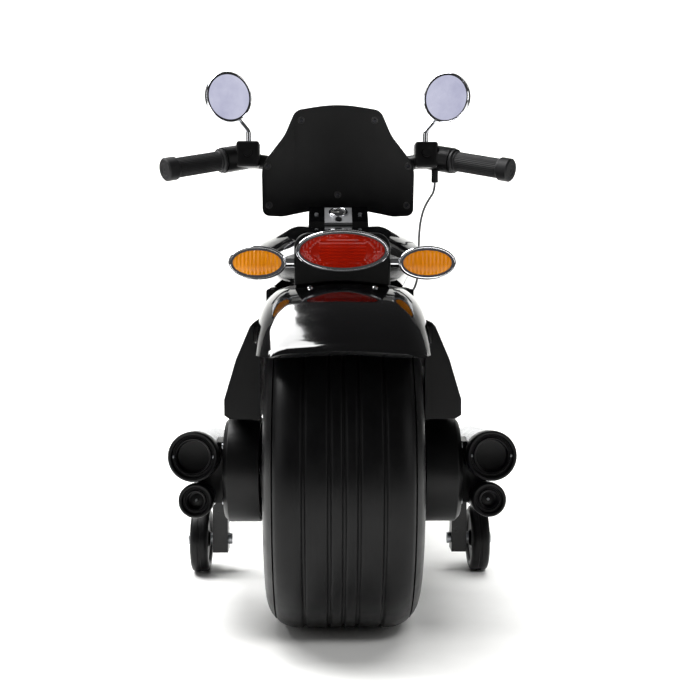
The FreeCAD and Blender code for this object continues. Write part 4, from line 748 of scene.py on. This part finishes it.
@dataclass
class ThrottleCable:
    """The thin cable that leaves the throttle box and goes into the body."""
    diameter: float = 3.4
    length: float = 196.5
    sides: int = 14
    smoothness: int = 6
    route: tuple[Place, ...] = (
        (146, 107.83, 531.676), (146, 107.8, 519), (137, 104.5, 506.5), (128.5, 100.5, 491),
        (123, 95, 470), (121, 90, 447), (120.5, 84.5, 424), (119.5, 79, 403), (117.5, 73, 386),
        (113.5, 68, 374), (107.5, 64.5, 366.5), (100.5, 62.5, 362), (91.5, 62.5, 362))

    def line(self) -> list[Vector]:
        """Read the smooth line that the cable follows from its spline.

        Returns:
            The line's points, in metres.
        """
        curve = bpy.data.curves.new("cable_line", "CURVE")
        curve.dimensions = "3D"
        curve.resolution_u = self.smoothness
        spline = curve.splines.new("NURBS")
        spline.points.add(len(self.route) - 1)
        for point, place in zip(spline.points, self.route):
            point.co = (*(mm(value) for value in place), 1.0)
        spline.order_u = 3
        spline.use_endpoint_u = True
        holder = bpy.data.objects.new("cable_line", curve)
        bpy.context.collection.objects.link(holder)
        read = bpy.data.meshes.new_from_object(holder)
        points = [vertex.co.copy() for vertex in read.vertices]
        bpy.data.objects.remove(holder)
        bpy.data.meshes.remove(read)
        bpy.data.curves.remove(curve)
        return points

    def build(self) -> None:
        """Make the tube along its line, from the throttle box into the body."""
        points = self.line()
        form = bmesh.new()
        tube(form, points, self.diameter / 2, self.sides)
        bmesh.ops.recalc_face_normals(form, faces=form.faces)
        jacket = show("throttle_cable_jacket", new_mesh("throttle_cable_jacket", form, JACKET))
        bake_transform(jacket)
        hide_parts("throttle_cable")
        log.info("throttle cable, %d points", len(points))


class Prism(Enum):
    """How the inside of a lamp's lens is cut."""
    TAIL = "level ribs in a middle panel, facets beside it and a raised oval line round both"
    SIGNAL = "upright flutes behind a smooth amber face"
    HEAD = "upright flutes all over"

    def rise(self, across: float, share: float, column: int, row: int) -> float:
        """How far a point of the lens stands proud, in millimetres.

        Args:
            across: the point's distance from the upright middle line.
            share: its place between the middle, 0, and the rim, 1.
            column: its column of prisms.
            row: its row of prisms.

        Returns:
            The prism's height there.
        """
        flute, facet, line, rim_flute = 0.9, 0.8, 1.3, 0.7
        line_from, rim_from, panel_half = 0.55, 0.7, 24
        if self is not Prism.TAIL:
            return flute * (column % 2)
        if share > rim_from:
            return rim_flute * (column % 2)
        if share > line_from:
            return line
        if abs(across) < panel_half:
            return flute * (row % 2)
        return facet * ((row + column) % 2)


@dataclass(frozen=True)
class Lens:
    """A domed oval lens with prisms cut into it and a skirt behind."""
    width: float
    height: float
    depth: float
    dome: float
    prism: Prism
    pitch: float
    edge_share: float = 0.93
    segments: int = 72

    def build(self, form: bmesh.types.BMesh, at: Matrix) -> None:
        """Add the lens to a form.

        Args:
            form: the form that receives it.
            at: the frame whose Z axis the lens faces along.
        """
        lens = bmesh.new()
        bmesh.ops.create_circle(lens, cap_ends=True, segments=self.segments,
                                radius=mm(self.width / 2))
        bmesh.ops.scale(lens, vec=(1, self.height / self.width, 1), verts=lens.verts)
        for reach, normal in ((self.width / 2, (1, 0, 0)), (self.height / 2, (0, 1, 0))):
            count = int(reach / self.pitch)
            for step in range(-count, count + 1):
                bmesh.ops.bisect_plane(lens, geom=everything(lens), plane_no=normal,
                                       plane_co=Vector(normal) * mm(step * self.pitch),
                                       dist=mm(MERGE))
        rim = [edge for edge in lens.edges if edge.is_boundary]
        for vertex in lens.verts:
            across, up = vertex.co.x * 1000, vertex.co.y * 1000
            share = (2 * across / self.width) ** 2 + (2 * up / self.height) ** 2
            column, row = round(across / self.pitch), round(up / self.pitch)
            inside = share < self.edge_share
            proud = self.prism.rise(across, share, column, row) if inside else 0
            vertex.co.z = mm(self.dome * math.sqrt(max(0, 1 - share)) + proud)
        back = points_in(bmesh.ops.extrude_edge_only(lens, edges=rim)["geom"])
        bmesh.ops.translate(lens, verts=back, vec=(0, 0, -mm(self.depth)))
        open_edges = [edge for edge in lens.edges if edge.is_boundary]
        bmesh.ops.contextual_create(lens, geom=open_edges)
        join(form, lens, at)


@dataclass
class TailLamps:
    """The red tail lamp and the two amber signals, with their bezels."""
    tail: Lens = Lens(width=95, height=39.5, depth=4, dome=4.5, prism=Prism.TAIL, pitch=1.8)
    signal: Lens = Lens(width=56.5, height=30.5, depth=4, dome=4.5, prism=Prism.SIGNAL, pitch=2.1)
    bead: Section = ((-0.5, -1.5), (-0.5, 1.0), (0.1, 2.0), (1.2, 2.6), (2.3, 2.3), (3.1, 1.3),
                     (3.4, 0), (3.4, -2))
    # the reflector's radius as a share of the lens's width, and its height in millimetres
    bed: Section = ((0, -6.5), (0.3, -5.5), (0.47, -3.5), (0.47, -8), (0, -8))
    screw: Section = ((3.4, -0.6), (3.4, 0.8), (2.6, 1.7), (1, 2), (0.8, 1.3), (AXIS, 1.3))
    screw_across: float = 36
    screw_behind: float = 12
    housing_edge: float = 3

    def build(self) -> None:
        """Make lenses, bezel beads, reflector beds, housing and screws."""
        tails = self.seats("tail_lens", self.tail)
        signals = self.seats("signal_lenses", self.signal)
        form = self.lenses(tails)
        settle("tail_lens_cover", form, RED_CLEAR, "chassis", ["tail_lens"], crease=12)
        form = self.lenses(signals)
        settle("signal_lens_covers", form, AMBER_CLEAR, "chassis",
               ["signal_lenses"], crease=12)
        self.bezels(tails + signals)
        self.reflectors(tails + signals)
        soften("tail_housing", SATIN_BLACK, "chassis", self.housing_edge)
        self.screws()

    def seats(self, node: str, lens: Lens) -> list[tuple[Lens, Matrix]]:
        """Find where the lenses of a node sit, facing backwards.

        Args:
            node: the lenses' node.
            lens: the kind of lens.

        Returns:
            Each lens with its frame.
        """
        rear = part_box(node)[0].y + mm(lens.dome)
        return [(lens, aim((middle.x, rear, middle.z), BACKWARDS)) for middle, _ in solids_of(node)]

    def lenses(self, lamps: Sequence[tuple[Lens, Matrix]]) -> bmesh.types.BMesh:
        """Make the lenses of one kind.

        Args:
            lamps: each lens with its frame.

        Returns:
            A new form with the lenses.
        """
        form = bmesh.new()
        for lens, at in lamps:
            lens.build(form, at)
        return form

    def bezels(self, lamps: Sequence[tuple[Lens, Matrix]]) -> None:
        """Run a bead round each lens.

        Args:
            lamps: each lens with its frame.
        """
        form = bmesh.new()
        for lens, at in lamps:
            oval_ring(form, self.bead, lens.width, lens.height, at)
        settle("bezel_beads", form, CHROME, "chassis", crease=60)

    def reflectors(self, lamps: Sequence[tuple[Lens, Matrix]]) -> None:
        """Lay a plated bed behind each lens.

        Args:
            lamps: each lens with its frame.
        """
        form = bmesh.new()
        for lens, at in lamps:
            section = [(max(AXIS, lens.width * share), height) for share, height in self.bed]
            bed = turned(section, [Matrix()], steps=48)
            bmesh.ops.scale(bed, vec=(1, lens.height / lens.width, 1), verts=bed.verts)
            join(form, bed, at)
        settle("lamp_reflectors", form, PLATED, "chassis")

    def screws(self) -> None:
        """Set a screw in the fender on each side of the tail lamp."""
        y = centre_of("tail_lens").y - mm(self.screw_behind)
        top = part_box("rear_fender")[1].z
        spots = [Vector((side * mm(self.screw_across), y, top)) for side in (-1, 1)]
        frames = [aim(*skin_at("rear_fender", spot)) for spot in spots]
        settle("tail_screws", turned(self.screw, frames, steps=20), CHROME, "chassis")


@dataclass
class Tyre:
    """A moulded tyre, turned about its axle."""
    node: str
    body: str
    outer_r: float
    width: float
    rim_r: float
    shoulder_r: float
    grooves: tuple[float, ...]
    groove_width: float = 4
    groove_depth: float = 2.5
    # corners as (height over the tread or the groove's floor, distance from the groove's side)
    groove_edge: Section = ((0, -1.8), (-0.25, -1), (-0.9, -0.2))
    groove_foot: Section = ((0.4, 0.7), (0, 1.3))
    # corners as (radius outside the rim or the shoulder's arc, distance inwards from the side)
    bead: Section = ((0.3, 5), (4, 1), (8, 0))
    seam: Section = ((-1.4, 0.9), (1.2, 1.8))
    seam_share: float = 0.55
    arc_steps: int = 8
    steps: int = 144

    def groove(self, middle: float) -> list[tuple[float, float]]:
        """The soft-edged section of one tread groove.

        Args:
            middle: the groove's distance from the tyre's middle.

        Returns:
            Its corners as (radius, place across the tyre).
        """
        side = middle - self.groove_width / 2
        floor = self.outer_r - self.groove_depth
        left = [(self.outer_r + up, side + across) for up, across in self.groove_edge]
        left += [(floor + up, side + across) for up, across in self.groove_foot]
        return left + [(radius, 2 * middle - across) for radius, across in reversed(left)]

    def outline(self) -> list[tuple[float, float]]:
        """The tyre's section from one bead to the other.

        Returns:
            Its corners as (radius, place across the tyre).
        """
        wall, shoulder = -self.width / 2, self.shoulder_r
        side = [(self.rim_r + out, wall + across) for out, across in self.bead]
        for step in range(self.arc_steps + 1):
            turn = math.radians(90 * step / self.arc_steps)
            radius = self.outer_r - shoulder + shoulder * math.sin(turn)
            place = wall + shoulder - shoulder * math.cos(turn)
            side.append((radius, place))
            if abs(step / self.arc_steps - self.seam_share) < 0.5 / self.arc_steps:
                side += [(radius + out, place + across) for out, across in self.seam]
        tread = [corner for middle in self.grooves for corner in self.groove(middle)]
        mirrored = [(radius, -across) for radius, across in reversed(side)]
        return side + tread + mirrored + [side[0]]

    def build(self) -> None:
        """Turn the tyre and put it in place of its solid."""
        form = turned(self.outline(), [aim(centre_of(self.node), SIDEWAYS)], self.steps)
        settle(self.node + "_tread", form, TYRE_BLACK, self.body, [self.node], crease=40)


@dataclass
class Grips:
    """The two hand grips, fluted along their length."""
    bar_end: Place = (247, 39.83, 544.676)
    along: Place = (0.797841, -0.571086, -0.193162)
    length: float = 98
    cap: float = 4
    grip_r: float = 14.5
    flange: Section = ((11.2, 0), (17, 0), (18, 1), (18, 4), (17, 5), (15.3, 5.6), (15.3, 8),
                       (14.5, 9), (14.5, 40), (14.5, 70))
    # the closed end's corners as (radius, distance past the grip's end)
    closed_end: Section = ((14.5, -20), (15.3, -19), (15.5, -18), (16.4, -17.6), (17, -16.5),
                           (17, -2), (15, 0), (9, 0), (8.2, -0.8), (3, -0.8), (2.2, -1.6),
                           (AXIS, -1.6))
    flute: float = 0.45
    flutes: int = 36
    flutes_from: float = 8.5
    flutes_short_of_end: float = 19.5

    def sleeve(self) -> bmesh.types.BMesh:
        """Turn one sleeve along the Z axis and cut its flutes.

        Returns:
            A new form with the sleeve.
        """
        far = [(radius, self.length + past) for radius, past in self.closed_end]
        form = turned([*self.flange, *far], [Matrix()], 2 * self.flutes)
        first, last = mm(self.flutes_from), mm(self.length - self.flutes_short_of_end)
        for vertex in form.verts:
            turn = math.atan2(vertex.co.y, vertex.co.x)
            column = round(turn / math.tau * 2 * self.flutes)
            if column % 2 and first < vertex.co.z < last:
                vertex.co.xy *= 1 - self.flute / self.grip_r
        return form

    def build(self) -> None:
        """Put a sleeve on each end of the bar."""
        for side, node, body in ((1, "throttle_grip", "throttle"), (-1, "grip_left", "steering")):
            way = Vector((side * self.along[0], *self.along[1:]))
            end = Vector((side * self.bar_end[0], *self.bar_end[1:])) / 1000
            at = aim(end - way * mm(self.length - self.cap), way)
            form = self.sleeve()
            bmesh.ops.transform(form, matrix=at, verts=form.verts)
            settle(node + "_sleeve", form, GRIP_BLACK, body, [node], crease=28)


@dataclass
class Exhausts:
    """The stepped black ends of the silencers, with their small screws."""
    big_r: float = 27.5
    small_r: float = 19
    length: float = 16
    recess: float = 11
    crown: float = 1
    ledge: float = 4.4
    # two rings round a sunk disc, as (distance outside the rim, distance behind the end face)
    rings: Section = ((-1.2, -28), (-0.5, -28), (-0.3, -16), (0, -15), (0, -3), (-0.7, -1.1),
                      (-2.2, -0.1), (-3.8, -0.5), (-4.8, -2), (-5.1, -4.4), (-7, -4.4),
                      (-7.4, -2.6), (-8.3, -1.7), (-9.5, -2.4), (-10.2, -4.6), (-10.6, -11),
                      (-12, -11.6))
    screw: Section = ((1.7, -0.5), (1.7, 0.5), (1.2, 1), (0.8, 1.2), (0.6, 0.6), (AXIS, 0.6))
    screw_inset: float = 6

    def build(self) -> None:
        """Turn the end caps and set their screws: two on a big cap's ledge, one in a small cap."""
        face = self.length / 2
        middle_z = centre_of("exhaust_tips").z
        caps = bmesh.new()
        spots = []
        for middle, facing in solids_of("exhaust_tips"):
            big = middle.z > middle_z
            outer = self.big_r if big else self.small_r
            at = aim(middle, facing)
            section = [(outer + out, face + behind) for out, behind in self.rings]
            lathe(caps, [*section, (AXIS, face - self.recess + self.crown)], at, steps=56)
            ring = outer - self.screw_inset
            sunk = face - (self.ledge if big else self.recess - self.crown)
            spots += [at @ Matrix.Translation((mm(across), 0, mm(sunk)))
                      for across in ((-ring, ring) if big else (0,))]
        settle("exhaust_end_caps", caps, SATIN_BLACK, "chassis", ["exhaust_tips"],
               crease=30)
        settle("exhaust_screws", turned(self.screw, spots, steps=16), ZINC, "chassis")


@dataclass
class FairingTrim:
    """The fairing panel's rounded rim and its seven sunk screws."""
    edge: float = 1.7
    probe: float = 6
    # a raised ring round each screw; its near-black finish is painted shade for the well
    well: Section = ((2.6, 0.15), (3.3, 0.15), (4.4, 0.8), (5, 0.9), (5.4, 0.5), (5.4, -0.6))
    head: Section = ((2.9, -0.4), (2.6, 0.8), (1.8, 1.3), (1, 1.4), (0.8, 0.7), (AXIS, 0.7))

    def build(self) -> None:
        """Round the panel's edges and set each screw in a ring painted near-black as the shade of
        its well.
        """
        soften("fairing_panel", SATIN_BLACK, "steering", self.edge)
        spots = [middle + BACKWARDS * mm(self.probe) for middle, _ in solids_of("panel_screws")]
        frames = [aim(*skin_at("fairing_panel", spot)) for spot in spots]
        # the rings' near-black is painted shade, where light hardly reaches into the wells
        settle("fairing_screw_wells", turned(self.well, frames, steps=28), INK_AND_WELL_SHADE, "steering")
        settle("fairing_screw_heads", turned(self.head, frames, steps=20), BLACK_ZINC, "steering",
               ["panel_screws"])


@dataclass
class Seat:
    """The padded seat: a leatherette cover blown up over its foam, with a welt and stitches."""
    voxel: float = 5
    shrink: float = 3.5
    swell: float = 7
    pressure: float = 4
    frames: int = 20
    base_band: float = 6
    welt_r: float = 1.5
    welt_up: float = 0.42
    welt_sides: int = 8
    seam_step: float = 2.5
    stitch_above: float = 5
    stitch_pitch: float = 5.5
    stitch_r: float = 0.5
    stitch_stretch: float = 3.4

    def foam(self) -> bpy.types.Mesh:
        """Shape the foam, a little smaller than the finished seat and evenly meshed.

        Returns:
            The foam's mesh.
        """
        form = solid_copy("seat_cushion")
        low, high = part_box("seat_cushion")
        foot = Vector(((low.x + high.x) / 2, (low.y + high.y) / 2, low.z))
        size = high - low
        shares = [1 - 2 * mm(self.shrink) / size.x, 1 - 2 * mm(self.shrink) / size.y,
                  1 - mm(self.shrink) / size.z]
        bmesh.ops.scale(form, vec=shares, verts=form.verts, space=Matrix.Translation(-foot))
        block = bpy.data.objects.new("foam", new_mesh("foam", form, LEATHERETTE))
        bpy.context.collection.objects.link(block)
        even = block.modifiers.new("even", "REMESH")
        even.mode = "VOXEL"
        even.voxel_size = mm(self.voxel)
        ready = self.evaluated(block)
        bpy.data.objects.remove(block)
        return ready

    def evaluated(self, piece: bpy.types.Object) -> bpy.types.Mesh:
        """A mesh with a piece's modifiers applied."""
        graph = bpy.context.evaluated_depsgraph_get()
        return bpy.data.meshes.new_from_object(piece.evaluated_get(graph))

    def swollen(self, foam: bpy.types.Mesh) -> bpy.types.Mesh:
        """Fill the cover by pressure, with its base held flat.

        Args:
            foam: the foam's mesh.

        Returns:
            The cover's mesh.
        """
        cover = bpy.data.objects.new("cover", foam)
        bpy.context.collection.objects.link(cover)
        held_z = min(vertex.co.z for vertex in foam.vertices) + mm(self.base_band)
        held = cover.vertex_groups.new(name="base")
        held.add([vertex.index for vertex in foam.vertices if vertex.co.z < held_z], 1.0, "REPLACE")
        cloth = cover.modifiers.new("cloth", "CLOTH")
        cloth.settings.vertex_group_mass = "base"
        cloth.settings.use_pressure = True
        cloth.settings.uniform_pressure_force = self.pressure
        cloth.settings.effector_weights.gravity = 0
        cloth.point_cache.frame_end = self.frames
        scene = bpy.context.scene
        for number in range(1, self.frames + 1):
            scene.frame_set(number)
        filled = self.evaluated(cover)
        for before, after in zip(foam.vertices, filled.vertices):
            move = after.co - before.co
            after.co = before.co + move * min(1, mm(self.swell) / max(move.length, 1e-9))
        scene.frame_set(1)
        bpy.data.objects.remove(cover)
        return filled

    def build(self) -> None:
        """Fill the cover, then sew the welt and the stitches on it."""
        foam = self.foam()
        mesh = self.swollen(foam)
        mesh.name = "seat_cover"
        mesh.materials.clear()
        mesh.materials.append(LEATHERETTE.material())
        seat = show("seat_cover", mesh, crease=80)
        fine = seat.modifiers.new("fine", "SUBSURF")
        fine.levels = fine.render_levels = 1
        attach(seat, "chassis")
        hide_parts("seat_cushion")
        log.info("seat cover, %d faces", len(mesh.polygons))
        low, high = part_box("seat_cushion")
        welt_z = low.z + (high.z - low.z) * self.welt_up
        form = bmesh.new()
        tube(form, self.seam(mesh, welt_z), self.welt_r, self.welt_sides, closed=True)
        settle("seat_welt", form, LEATHERETTE, "chassis", crease=60)
        self.stitches(self.seam(mesh, welt_z + mm(self.stitch_above)))

    def seam(self, mesh: bpy.types.Mesh, height: float) -> list[Vector]:
        """Find the line round the cover at a height.

        Args:
            mesh: the cover's mesh.
            height: the height in metres.

        Returns:
            The line's points, in order.
        """
        form = bmesh.new()
        form.from_mesh(mesh)
        cut = bmesh.ops.bisect_plane(form, geom=everything(form), plane_co=(0, 0, height),
                                     plane_no=(0, 0, 1))["geom_cut"]
        middle = centre_of("seat_cushion")
        spots = [vertex.co.copy() for vertex in points_in(cut)]
        form.free()
        spots.sort(key=lambda spot: math.atan2(spot.y - middle.y, spot.x - middle.x))
        apart = [spots[0]]
        for spot in spots[1:]:
            if (spot - apart[-1]).length > mm(self.seam_step):
                apart.append(spot)
        return apart

    def stitches(self, line: Sequence[Vector]) -> None:
        """Sew a row of stitches beside the welt.

        Args:
            line: the row's points, in order.
        """
        form = bmesh.new()
        gone = 0.0
        for near, far in zip(line, line[1:]):
            gone += (far - near).length
            if gone < mm(self.stitch_pitch):
                continue
            gone = 0.0
            stitch = bmesh.ops.create_icosphere(form, subdivisions=1,
                                                radius=mm(self.stitch_r))["verts"]
            bmesh.ops.scale(form, vec=(1, 1, self.stitch_stretch), verts=stitch)
            bmesh.ops.transform(form, matrix=aim(near, far - near), verts=stitch)
        settle("seat_stitches", form, THREAD, "chassis")


@dataclass
class Headlight:
    """The headlight: a plated bowl behind a fluted lens, in a chrome rim."""
    lens: Lens = Lens(width=76, height=76, depth=2, dome=7, prism=Prism.HEAD, pitch=4.0)
    rim: Section = ((37, -7), (40.5, -7), (41.5, -5), (41.5, 1), (40.1, 3.4), (38.6, 3.6),
                    (37.4, 2), (37, -1))
    bowl: Section = ((37.2, -1.5), (34, -4), (26, -8), (14, -10.5), (6, -11), (5.5, -6), (4, -3),
                     (AXIS, -2))
    proud: float = 1

    def build(self) -> None:
        """Make the rim, the bowl with its bulb and the lens on the fairing's front."""
        middle, facing = solids_of("headlight", FORWARDS)[0]
        at = aim(middle + facing * mm(self.proud), facing)
        settle("headlight_rim", turned(self.rim, [at], steps=64), CHROME, "steering",
               ["headlight"], crease=50)
        settle("headlight_bowl", turned(self.bowl, [at], steps=56), PLATED, "steering",
               crease=40)
        form = bmesh.new()
        self.lens.build(form, at)
        settle("headlight_lens", form, WATER_CLEAR, "steering", crease=12)


@dataclass
class Console:
    """The silver plate with a small round gauge that has plain ticks and a needle."""
    edge: float = 0.8
    facing: Place = (0, -0.485, 0.875)
    probe: float = 20
    gauge_up: float = 8
    rim: Section = ((11.4, 0.4), (11.6, 1.8), (12.4, 2.4), (13.4, 2.2), (14.2, 1.2), (14.4, -0.4))
    dial: Section = ((11.8, 0.1), (11.8, 0.7), (2, 0.6), (AXIS, 0.6))
    hub: Section = ((1.4, 0.6), (1.4, 1.3), (0.9, 1.6), (AXIS, 1.6))
    ticks: int = 11
    sweep: float = 240
    tick_out: float = 9.6
    tick_length: float = 1.2
    long_tick_length: float = 2.2
    long_tick_every: int = 5
    tick_width: float = 0.7
    needle_share: float = 0.36
    needle_out: float = 3.5
    needle_length: float = 7.5
    needle_width: float = 0.8
    mark_up: float = 0.75
    mark_thickness: float = 0.3

    def build(self) -> None:
        """Make the gauge's rim, dial, ticks and needle on the plate."""
        soften("console_plate", SILVER, "chassis", self.edge)
        probe = centre_of("console_plate") + Vector(self.facing) * mm(self.probe)
        at = aim(*skin_at("console_plate", probe)) @ Matrix.Translation((0, mm(self.gauge_up), 0))
        settle("gauge_rim", turned(self.rim, [at], steps=48), CHROME, "chassis",
               crease=50)
        settle("gauge_dial", turned(self.dial, [at], steps=48), INK_AND_WELL_SHADE, "chassis")
        form = bmesh.new()
        for step in range(self.ticks):
            turn = math.radians(90 + self.sweep / 2 - self.sweep * step / (self.ticks - 1))
            long = step % self.long_tick_every == 0
            self.mark(form, at, turn, self.tick_out,
                      self.long_tick_length if long else self.tick_length, self.tick_width)
        self.mark(form, at, math.radians(90 + self.sweep * self.needle_share), self.needle_out,
                  self.needle_length, self.needle_width)
        lathe(form, self.hub, at, steps=20)
        settle("gauge_marks", form, DIAL, "chassis")

    def mark(self, form: bmesh.types.BMesh, at: Matrix, turn: float, out: float, length: float,
             width: float) -> None:
        """Lay one raised mark on the dial, pointing outwards.

        Args:
            form: the form that receives the mark.
            at: the gauge's frame.
            turn: the mark's angle in radians.
            out: its middle's distance from the gauge's middle.
            length: its length.
            width: its width.
        """
        place = Matrix.Rotation(turn, 4, "Z") @ Matrix.Translation((mm(out), 0, mm(self.mark_up)))
        bar = bmesh.ops.create_cube(form, size=1)["verts"]
        bmesh.ops.scale(form, vec=(mm(length), mm(width), mm(self.mark_thickness)), verts=bar)
        bmesh.ops.transform(form, matrix=at @ place, verts=bar)


@dataclass
class MirrorRims:
    """The bright rim round each mirror and the dark gasket that holds its glass."""
    turn: float = 30
    proud: float = 1
    gasket: Section = ((33, 0.1), (33.4, 0.8), (34.4, 1), (35, 0.4), (35, -0.6))
    rim: Section = ((34.9, -0.2), (35.2, 1.1), (35.9, 1.6), (36.6, 1.2), (37, 0.2), (37, -2))

    def build(self) -> None:
        """Turn a rim and a gasket on each mirror."""
        angle = math.radians(self.turn)
        for side, sign in (("right", -1), ("left", 1)):
            way = Vector((sign * math.sin(angle), -math.cos(angle), 0))
            middle, facing = solids_of("mirror_glass_" + side, way)[0]
            at = aim(middle + facing * mm(self.proud), facing)
            settle("mirror_gasket_" + side, turned(self.gasket, [at], steps=64), GRIP_BLACK,
                   "mirror_" + side, crease=50)
            settle("mirror_rim_" + side, turned(self.rim, [at], steps=64), CHROME, "mirror_" + side,
                   crease=50)


@dataclass
class StabiliserWheels:
    """The two small training wheels, dished on both sides with a seam round the tread."""
    half_section: Section = (
        (4.3, -12), (9, -12), (10, -11), (11, -8.5), (29, -8.5), (31, -10.5), (33.5, -11.8),
        (38, -11.8), (41, -10.6), (42.5, -8.5), (43, -6), (43, -2), (42.3, -1.4))

    def build(self) -> None:
        """Turn both wheels about their bolts."""
        mirrored = [(radius, -across) for radius, across in reversed(self.half_section)]
        section = [*self.half_section, *mirrored, self.half_section[0]]
        for side in ("left", "right"):
            node = "stabiliser_wheel_" + side
            form = turned(section, [aim(centre_of(node), SIDEWAYS)], steps=72)
            settle(node + "_moulding", form, SATIN_BLACK, "stabiliser_" + side,
                   [node])


@dataclass
class FootrestSleeves:
    """Ribbed rubber sleeves on the footrests, with corners as (radius, distance outwards)."""
    inner_x: float = 100
    first_rib: float = 3
    rib_pitch: float = 6
    ribs: int = 7
    mouth: tuple[float, float] = (10.3, 1)
    rib: Section = ((11.3, 0), (13.4, 0.9), (13.4, 3.1), (11.3, 4))
    closed_end: Section = ((13.4, 0.9), (13.4, 4), (11.8, 5.4), (AXIS, 5.6))

    def build(self) -> None:
        """Turn one ribbed sleeve on each peg."""
        section = [self.mouth]
        for number in range(self.ribs + 1):
            start = self.first_rib + number * self.rib_pitch
            corners = self.rib if number < self.ribs else self.closed_end
            section += [(radius, start + out) for radius, out in corners]
        middle = centre_of("footrests")
        frames = [aim((side * mm(self.inner_x), middle.y, middle.z), SIDEWAYS * side)
                  for side in (-1, 1)]
        settle("footrest_sleeves", turned(section, frames, steps=32), GRIP_BLACK, "chassis",
               crease=40)


@dataclass
class BodyRelief:
    """Moulded relief on the body's sides: two finned barrels over a round cover."""
    probe: float = 200
    fins: int = 8
    fin_pitch: float = 10.5
    fin_length: float = 62
    fin_taper: float = 0.025
    fin_depth: float = 12
    fin_stand: float = 2
    fin_thickness: float = 3.6
    fin_edge: float = 1.5
    lean: float = 14
    # each barrel's place ahead of the shell's rear end and the way that it leans
    barrels: tuple[tuple[float, int], ...] = ((59, -1), (179, 1))
    barrel_foot: float = 252
    cover_ahead: float = 134
    cover_z: float = 188
    cover: Section = ((42, -3), (42, 3.5), (40.5, 5), (38, 5.4), (36, 4.2), (32.5, 4.2), (30.5, 6),
                      (15, 8.5), (12.5, 8.5), (11, 7.2), (AXIS, 7.2))
    bolt: Section = ((2.3, -0.5), (2.3, 1.2), (1.7, 1.8), (1, 1.9), (0.9, 1.2), (AXIS, 1.2))
    bolts: int = 6
    bolt_ring_r: float = 34.2
    bolt_up: float = 4.2

    def build(self) -> None:
        """Mould the fins and turn the cover with its bolts on both sides."""
        for side, name in ((1, "right"), (-1, "left")):
            node = "body_shell_" + name
            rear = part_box(node)[0].y
            fins = bmesh.new()
            for ahead, way in self.barrels:
                for step in range(self.fins):
                    self.fin(fins, node, side, rear + mm(ahead), way, step)
            settle("engine_fins_" + name, fins, SATIN_BLACK, "chassis")
            spot = Vector((side * mm(self.probe), rear + mm(self.cover_ahead), mm(self.cover_z)))
            at = aim(skin_at(node, spot)[0], SIDEWAYS * side)
            settle("engine_cover_" + name, turned(self.cover, [at], steps=64), SILVER, "chassis")
            seat = Matrix.Translation((mm(self.bolt_ring_r), 0, mm(self.bolt_up)))
            seats = [at @ Matrix.Rotation(math.tau * bolt / self.bolts, 4, "Z") @ seat
                     for bolt in range(self.bolts)]
            settle("engine_bolts_" + name, turned(self.bolt, seats, steps=16), ZINC, "chassis")

    def fin(self, form: bmesh.types.BMesh, node: str, side: int, foot_y: float, way: int,
            step: int) -> None:
        """Mould one fin, square to its leaning barrel.

        Args:
            form: the form that receives the fin.
            node: the shell that carries it.
            side: 1 on the right and -1 on the left.
            foot_y: the barrel's foot along the bike, in metres.
            way: the way that the barrel leans.
            step: the fin's number from the foot.
        """
        angle = math.radians(self.lean) * way
        up = mm(step * self.fin_pitch)
        spot = Vector((side * mm(self.probe), foot_y + up * math.sin(angle),
                       mm(self.barrel_foot) + up * math.cos(angle)))
        skin, _ = skin_at(node, spot)
        block = bmesh.ops.create_cube(form, size=1)["verts"]
        length = mm(self.fin_length * (1 - self.fin_taper * step))
        bmesh.ops.scale(form, vec=(mm(self.fin_depth), length, mm(self.fin_thickness)), verts=block)
        root = Matrix.Translation((skin.x + side * mm(self.fin_stand), spot.y, spot.z))
        bmesh.ops.transform(form, matrix=root @ Matrix.Rotation(-angle, 4, "X"), verts=block)
        bmesh.ops.bevel(form, geom=edges_at(block), offset=mm(self.fin_edge), offset_type="OFFSET",
                        segments=3, profile=0.5, affect="EDGES", material=-1)


def finish_of(node: str, slot: str) -> Finish:
    """The finish that a solid has of its own, or else its slot's."""
    return NODE_FINISH.get(node, SLOT_FINISH[slot])


@dataclass
class MouldedEdges:
    """Moulded and bent pieces, with the radius of their edges."""
    chassis: tuple[tuple[str, float], ...] = (
        ("side_cover_left", 1.5), ("side_cover_right", 1.5), ("drum_cover_left", 2),
        ("drum_cover_right", 2), ("stabiliser_brackets", 1.5), ("rear_fender", 0.9))
    steering: tuple[tuple[str, float], ...] = (
        ("switch_box_left", 0.8), ("switch_box_right", 0.8), ("front_fender", 0.9),
        ("steering_stem", 1.5))

    def build(self) -> None:
        """Show each piece with its edges rounded."""
        slots = {part["node"]: part["material_slot"] for part in frame["record"]["subparts"]}
        for body, pieces in (("chassis", self.chassis), ("steering", self.steering)):
            for node, edge in pieces:
                soften(node, finish_of(node, slots[node]), body, edge)


def carry_over() -> None:
    """Give every solid that is shown as it is the finish of its slot."""
    for part in frame["record"]["subparts"]:
        finish = finish_of(part["node"], part["material_slot"])
        materials = frame["nodes"][part["node"]].data.materials
        materials.clear()
        materials.append(finish.material())
        log.info("%s has %s", part["node"], finish.name)


def main() -> None:
    """Build the studio, then each sub-assembly in turn."""
    logging.basicConfig(level=logging.INFO, format="%(name)s: %(message)s")
    studio = Studio()
    studio.build()
    ThrottleCable().build()
    carry_over()
    rear_tyre = Tyre("rear_tyre", "rear_wheel", outer_r=175, width=166, rim_r=112, shoulder_r=34,
                     grooves=(-41, -15, 0, 15, 41))
    front_tyre = Tyre("front_tyre", "front_wheel", outer_r=160, width=66, rim_r=116, shoulder_r=26,
                      grooves=(-8, 8))
    for assembly in (TailLamps(), rear_tyre, front_tyre, Grips(), Exhausts(), FairingTrim(), Seat(),
                     Headlight(), Console(), MirrorRims(), StabiliserWheels(), FootrestSleeves(),
                     BodyRelief(), MouldedEdges()):
        assembly.build()
    studio.gleam(("bezel_beads", "mirror_rim_left", "mirror_rim_right"))


if __name__ == "__main__":
    main()
